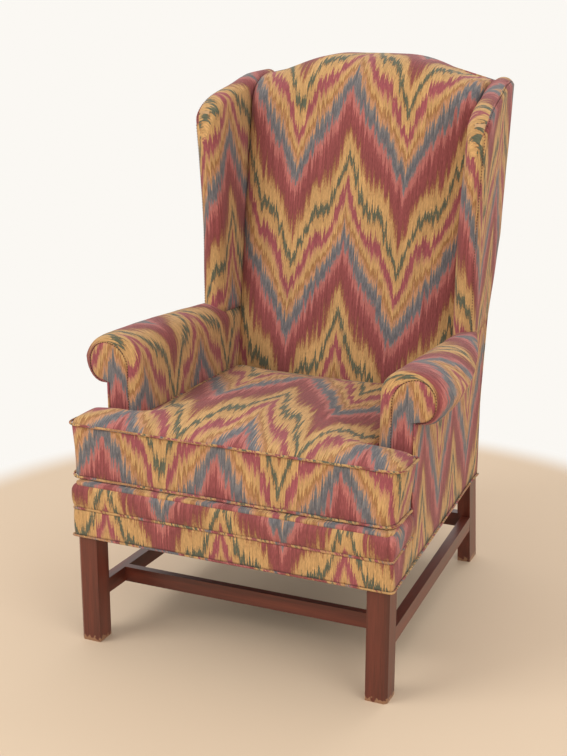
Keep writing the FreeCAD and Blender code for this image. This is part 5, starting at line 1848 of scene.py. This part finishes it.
    def write(self, obj: bpy.types.Object, points: np.ndarray) -> None:
        """Put an array of points back on an object."""
        obj.data.vertices.foreach_set("co", points.ravel())
        obj.data.update()

    def filled(self, cushion: bpy.types.Object) -> None:
        """Blow the cover up with cloth simulation, held along its welts, and cap its travel.

        Args:
            cushion: The level, crowned cover.
        """
        start = self.read(cushion).copy()
        reach = self.held_reach
        near_edge = self.edge_distance(self.level(start), self.bulge) < reach
        heights = start[:, 2] / MM
        near_welt = (abs(heights - self.upper_welt) < reach) | (abs(heights - self.lower_welt) < reach)
        held = near_edge & near_welt
        held |= heights < self.base + 3.0
        group = cushion.vertex_groups.new(name="welts")
        group.add([int(i) for i in np.flatnonzero(held)], 1.0, "REPLACE")
        modifier = cushion.modifiers.new("filling", "CLOTH")
        settings = modifier.settings
        settings.quality = 5
        settings.mass = 0.4
        settings.tension_stiffness = 22.0
        settings.compression_stiffness = 10.0
        settings.bending_stiffness = 1.2
        settings.use_pressure = True
        settings.uniform_pressure_force = self.pressure
        settings.effector_weights.gravity = 0.0
        settings.vertex_group_mass = "welts"
        modifier.collision_settings.use_collision = False
        scene = bpy.context.scene
        for step in range(1, self.filling_steps + 1):
            scene.frame_set(step)
        pick(cushion)
        bpy.ops.object.modifier_apply(modifier="filling")
        scene.frame_set(1)
        points = self.read(cushion)
        move = points - start
        travel = np.linalg.norm(move, axis=1, keepdims=True)
        LOG.info("cushion filling moves up to %.1f mm before its cap, mostly %.1f",
                 travel.max() / MM, np.median(travel) / MM)
        points = start + move * np.minimum(1.0, self.puff_cap / np.maximum(travel, TINY))
        self.write(cushion, points)

    def eased(self, values: np.ndarray, limit: np.ndarray | float) -> np.ndarray:
        """Values that near a limit softly and never pass it.

        Args:
            values: The values.
            limit: The limit, for all or for each.

        Returns:
            The eased values.
        """
        soft = self.ease
        over = np.maximum(values - (limit - soft), 0.0)
        return np.where(over > 0, limit - soft * np.exp(-over / soft), values)

    def trimmed(self, cushion: bpy.types.Object) -> None:
        """Keep the filled cushion in its place: off the deck, the arms and the back, drawn in at its welts.

        Args:
            cushion: The level, filled cushion.
        """
        points = self.read(cushion)
        level = self.level(points)
        heights = points[:, 2] / MM
        between_arms = level[:, 1] > self.ear_rear + 8.0
        limit = np.where(between_arms, self.neck + self.neck_room, self.ear + self.ear_room)
        level[:, 0] = np.sign(level[:, 0]) * self.eased(np.abs(level[:, 0]), limit)
        beside = (np.abs(level[:, 0]) > self.neck + 2.0) & ~between_arms
        level[:, 1] = np.where(beside, np.minimum(level[:, 1], self.ear_rear), level[:, 1])
        level[:, 1] = -self.eased(-level[:, 1], self.front_room - self.front)
        level[:, 1] = self.eased(level[:, 1], self.rear - 0.4)
        heights = np.maximum(heights, self.base)
        near_edge = self.edge_distance(level, self.bulge)
        for welt in (self.lower_welt, self.upper_welt):
            groove = np.exp(-((heights - welt) / 4.5) ** 2) * np.exp(-(near_edge / 6.0) ** 2) * self.groove
            heights += np.where(heights > welt, -groove, groove) * 0.5
        points[:, :2] = (level + np.array([0.0, LINES.front_y])) * MM
        points[:, 2] = heights * MM
        self.write(cushion, points)

    def lay_cloth(self, cushion: bpy.types.Object) -> None:
        """Give the top the cloth running front to back, and the boxing the cloth standing up.

        Args:
            cushion: The level, trimmed cushion.
        """
        loop = self.loop(0.0, 30.0)
        run = lengths_along(loop + loop[:1])
        start = np.array(loop)
        ends = np.roll(start, -1, axis=0)
        front_middle = next(run[i] + abs(here[0])
                            for i, (here, after) in enumerate(zip(loop, loop[1:] + loop[:1]))
                            if abs(here[1] - self.front) < 0.01 and here[0] <= 0 <= after[0])
        mesh = cushion.data
        points = self.read(cushion)
        level = self.level(points)
        heights = points[:, 2] / MM
        best = np.full(len(points), FAR)
        along = np.zeros(len(points))
        for i in range(len(loop)):
            step = ends[i] - start[i]
            length = math.hypot(*step)
            t = np.clip(((level - start[i]) @ step) / max(TINY, length * length), 0.0, 1.0)
            away = np.linalg.norm(level - (start[i] + t[:, None] * step), axis=1)
            closer = away < best
            best = np.where(closer, away, best)
            along = np.where(closer, run[i] + t * length, along)
        whole = run[-1]
        around = (along - front_middle + whole / 2) % whole - whole / 2
        layer = mesh.uv_layers.get("cloth") or mesh.uv_layers.new(name="cloth")
        uv = np.empty((len(mesh.loops), 2))
        for face in mesh.polygons:
            middle = np.mean(heights[list(face.vertices)])
            upright = self.lower_welt < middle < self.upper_welt
            turn = [around[v] for v in face.vertices]
            wraps = max(turn) - min(turn) > whole / 2
            for corner, v in zip(face.loop_indices, face.vertices):
                if upright:
                    across = around[v] + (whole if wraps and around[v] < 0 else 0.0)
                    uv[corner] = (across - self.boxing_shift[0], heights[v] - self.boxing_shift[1])
                else:
                    uv[corner] = (level[v, 0] - self.top_shift[0],
                                  level[v, 1] + LINES.front_y - self.top_shift[1])
        layer.data.foreach_set("uv", (uv * MM).ravel())

    def welts(self) -> bpy.types.Object:
        """Both welts, round the boxing's top and bottom.

        Returns:
            The welts in one piece, level.
        """
        cords = []
        for k, z in enumerate((self.lower_welt, self.upper_welt)):
            route = []
            for x, b in self.loop(self.bulge - self.welt_inset, 6.0):
                sway = self.welt_sway * noise.noise(Vector((x / 55, b / 55, z)))
                route.append(LINES.spot(x, b, z + sway))
            cords.append(tube(f"cushion_piping_{k}", route, self.welt_radius * MM, True, self.finishes.welt,
                              seed=11.0 * k))
        cords[0].name = "cushion_piping"
        return joined_pieces(cords)

    def bar(self, at: Vector, size: tuple[float, float, float],
            finish: bpy.types.Material) -> bpy.types.Object:
        """A plain bar.

        Args:
            at: Its middle, in metres.
            size: Its three sizes, in metres.
            finish: Its material.

        Returns:
            The bar, its place and size in its mesh.
        """
        clear_selection()
        bpy.ops.mesh.primitive_cube_add(size=1.0, location=at)
        made = bpy.context.active_object
        made.scale = size
        bpy.ops.object.transform_apply(location=True, rotation=False, scale=True)
        made.data.materials.append(finish)
        made.data.uv_layers.active.name = "cloth"
        return made

    def zip_tape(self) -> bpy.types.Object:
        """The zip in the rear boxing: a tape, made as a plain bar, and its row of teeth.

        Returns:
            Tape and teeth in one piece, level.
        """
        middle = (self.lower_welt + self.upper_welt) / 2
        tape = self.bar(LINES.spot(0.0, self.rear + 0.4, middle), self.tape_size, self.finishes.tape)
        worked(tape, "BEVEL", width=0.0004)
        teeth = self.bar(LINES.spot(self.first_tooth, self.rear + 1.0, middle), self.tooth_size,
                         self.finishes.brass)
        worked(teeth, "ARRAY", use_relative_offset=False, use_constant_offset=True,
               constant_offset_displace=(self.tooth_pitch, 0.0, 0.0), count=self.teeth)
        tape.name = "zip_strip"
        return joined_pieces([tape, teeth])

    def build(self) -> None:
        """Make the cushion, fill it, lay it on the deck and ride it on its body."""
        cushion = self.block()
        self.crowned(cushion)
        self.filled(cushion)
        self.trimmed(cushion)
        worked(cushion, "SMOOTH", iterations=3, factor=0.5)
        worked(cushion, "SUBSURF", levels=1, render_levels=1)
        self.lay_cloth(cushion)
        cushion.vertex_groups.clear()
        for face in cushion.data.polygons:
            face.use_smooth = True
        welts = self.welts()
        zip_strip = self.zip_tape()
        laid = self.laid()
        for piece in (cushion, welts):
            self.spread(piece)
        for piece in (cushion, welts, zip_strip):
            piece.data.transform(laid)
        settle(cushion, "seat_cushion", ("cushion_cover", "cushion_core"))
        settle(welts, "seat_cushion", ("cushion_welts",))
        settle(zip_strip, "seat_cushion", ("cushion_zip_tape",))


@dataclass(frozen=True)
class Lamp:
    """A large soft lamp aimed at the chair."""

    name: str
    at: tuple[float, float, float]
    size: float
    watts: float
    aim: tuple[float, float, float] = (0.0, 0.0, 0.6)

    def hang(self) -> None:
        """Put the lamp in its place."""
        data = bpy.data.lights.new(self.name, "AREA")
        data.shape = "SQUARE"
        data.size = self.size
        data.energy = self.watts
        lamp = bpy.data.objects.new(self.name, data)
        lamp.location = self.at
        lamp.rotation_euler = (Vector(self.aim) - Vector(self.at)).to_track_quat("-Z", "Y").to_euler()
        bpy.context.collection.objects.link(lamp)


@dataclass
class Studio:
    """Pale floor, soft lamps and a camera where the photographer stood."""

    lens: float = 44.07
    sensor: float = 24.0
    camera_at: tuple[float, float, float] = (1.10819, -2.66997, 1.37028)
    yaw: float = 23.684
    pitch: float = 16.824
    roll: float = 0.035
    floor_half: float = 7.0
    floor_near: float = 1.0
    floor_far: float = 1.16
    floor_colour: Colour = shade(212, 189, 162)
    backdrop: Colour = shade(251, 248, 243)
    light: Colour = (1.0, 0.985, 0.96)
    light_strength: float = 0.84
    lamps: tuple[Lamp, ...] = (
        Lamp("key_lamp", (-2.6, -2.9, 3.0), 2.4, 92.0),
        Lamp("fill_lamp", (3.2, -2.2, 2.4), 2.6, 50.0),
        Lamp("back_lamp", (0.6, 3.2, 3.2), 2.6, 36.0),
    )

    def build(self) -> None:
        """Set the whole scene round the chair."""
        self.floor()
        for lamp in self.lamps:
            lamp.hang()
        self.world()
        self.camera()

    def floor(self) -> None:
        """A large pale floor, which the camera sees pass into the pale background away from the chair."""
        clear_selection()
        bpy.ops.mesh.primitive_plane_add(size=2 * self.floor_half)
        floor = bpy.context.active_object
        floor.name = "studio_floor"
        book = NodeBook("pale_floor")
        book.shader.inputs["Base Color"].default_value = (*self.floor_colour, 1.0)
        book.surface({"Roughness": 0.75})
        away = book.add("ShaderNodeVectorMath", operation="LENGTH")
        book.feed(away.inputs[0], book.place())
        fade = book.add("ShaderNodeMapRange", interpolation_type="SMOOTHSTEP")
        spans = (away.outputs["Value"], self.floor_near, self.floor_far, 0.0, 1.0)
        for socket, value in zip(fade.inputs, spans):
            book.feed(socket, value)
        seen = book.add("ShaderNodeLightPath").outputs["Is Camera Ray"]
        glow = book.add("ShaderNodeEmission")
        glow.inputs[0].default_value = (*self.backdrop, 1.0)
        mixed = book.add("ShaderNodeMixShader")
        book.feed(mixed.inputs[0], book.calc("MULTIPLY", fade.outputs[0], seen))
        book.feed(mixed.inputs[1], book.shader.outputs[0])
        book.feed(mixed.inputs[2], glow.outputs[0])
        book.feed(book.tree.nodes["Material Output"].inputs["Surface"], mixed.outputs[0])
        floor.data.materials.append(book.material)

    def world(self) -> None:
        """Even light all round, and a pale background where the camera or a reflection sees it."""
        world = bpy.data.worlds.new("studio")
        bpy.context.scene.world = world
        world.use_nodes = True
        tree = world.node_tree
        tree.nodes.clear()
        rays = tree.nodes.new("ShaderNodeLightPath")
        even, seen = (tree.nodes.new("ShaderNodeBackground") for _ in range(2))
        for glow, colour, strength in ((even, self.light, self.light_strength), (seen, self.backdrop, 1.0)):
            glow.inputs[0].default_value = (*colour, 1.0)
            glow.inputs[1].default_value = strength
        sight, either = (tree.nodes.new("ShaderNodeMath") for _ in range(2))
        for most in (sight, either):
            most.operation = "MAXIMUM"
        mixed = tree.nodes.new("ShaderNodeMixShader")
        out = tree.nodes.new("ShaderNodeOutputWorld")
        for source, socket in ((rays.outputs["Is Camera Ray"], sight.inputs[0]),
                               (rays.outputs["Is Glossy Ray"], sight.inputs[1]),
                               (sight.outputs[0], either.inputs[0]),
                               (rays.outputs["Is Transmission Ray"], either.inputs[1]),
                               (either.outputs[0], mixed.inputs[0]),
                               (even.outputs[0], mixed.inputs[1]),
                               (seen.outputs[0], mixed.inputs[2]),
                               (mixed.outputs[0], out.inputs[0])):
            tree.links.new(source, socket)

    def camera(self) -> None:
        """The camera at the photograph's viewing angle."""
        data = bpy.data.cameras.new("camera")
        data.sensor_fit = "VERTICAL"
        data.sensor_height = self.sensor
        data.lens = self.lens
        camera = bpy.data.objects.new("camera", data)
        camera.location = self.camera_at
        yaw = Matrix.Rotation(math.radians(self.yaw), 3, "Z")
        pitch = Matrix.Rotation(math.radians(90 - self.pitch), 3, "X")
        roll = Matrix.Rotation(math.radians(self.roll), 3, "Z")
        camera.rotation_euler = (yaw @ pitch @ roll).to_euler()
        bpy.context.collection.objects.link(camera)
        bpy.context.scene.camera = camera


def main() -> None:
    """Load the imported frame, dress it and set the scene."""
    logging.basicConfig(level=logging.INFO, format="%(message)s")
    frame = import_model()
    clear_selection()
    finishes = Finishes.make()
    slots = {part["node"]: part["material_slot"] for part in frame["record"]["subparts"]}
    Woodwork(finishes).dress(frame["nodes"], slots)
    SeatSurround(finishes).build()
    TightBack(finishes).build()
    RolledArm(finishes, Side.RIGHT, shift=(110.0, 500.0)).build()
    RolledArm(finishes, Side.LEFT, shift=(160.0, 520.0)).build()
    Wing(finishes, Side.RIGHT, shift=(60.0, 960.0)).build()
    Wing(finishes, Side.LEFT, nose_top_centre=327.0, shift=(90.0, 980.0)).build()
    LooseCushion(finishes).build()
    Studio().build()
    bpy.context.scene.view_settings.view_transform = "Standard"


if __name__ == "__main__":
    main()
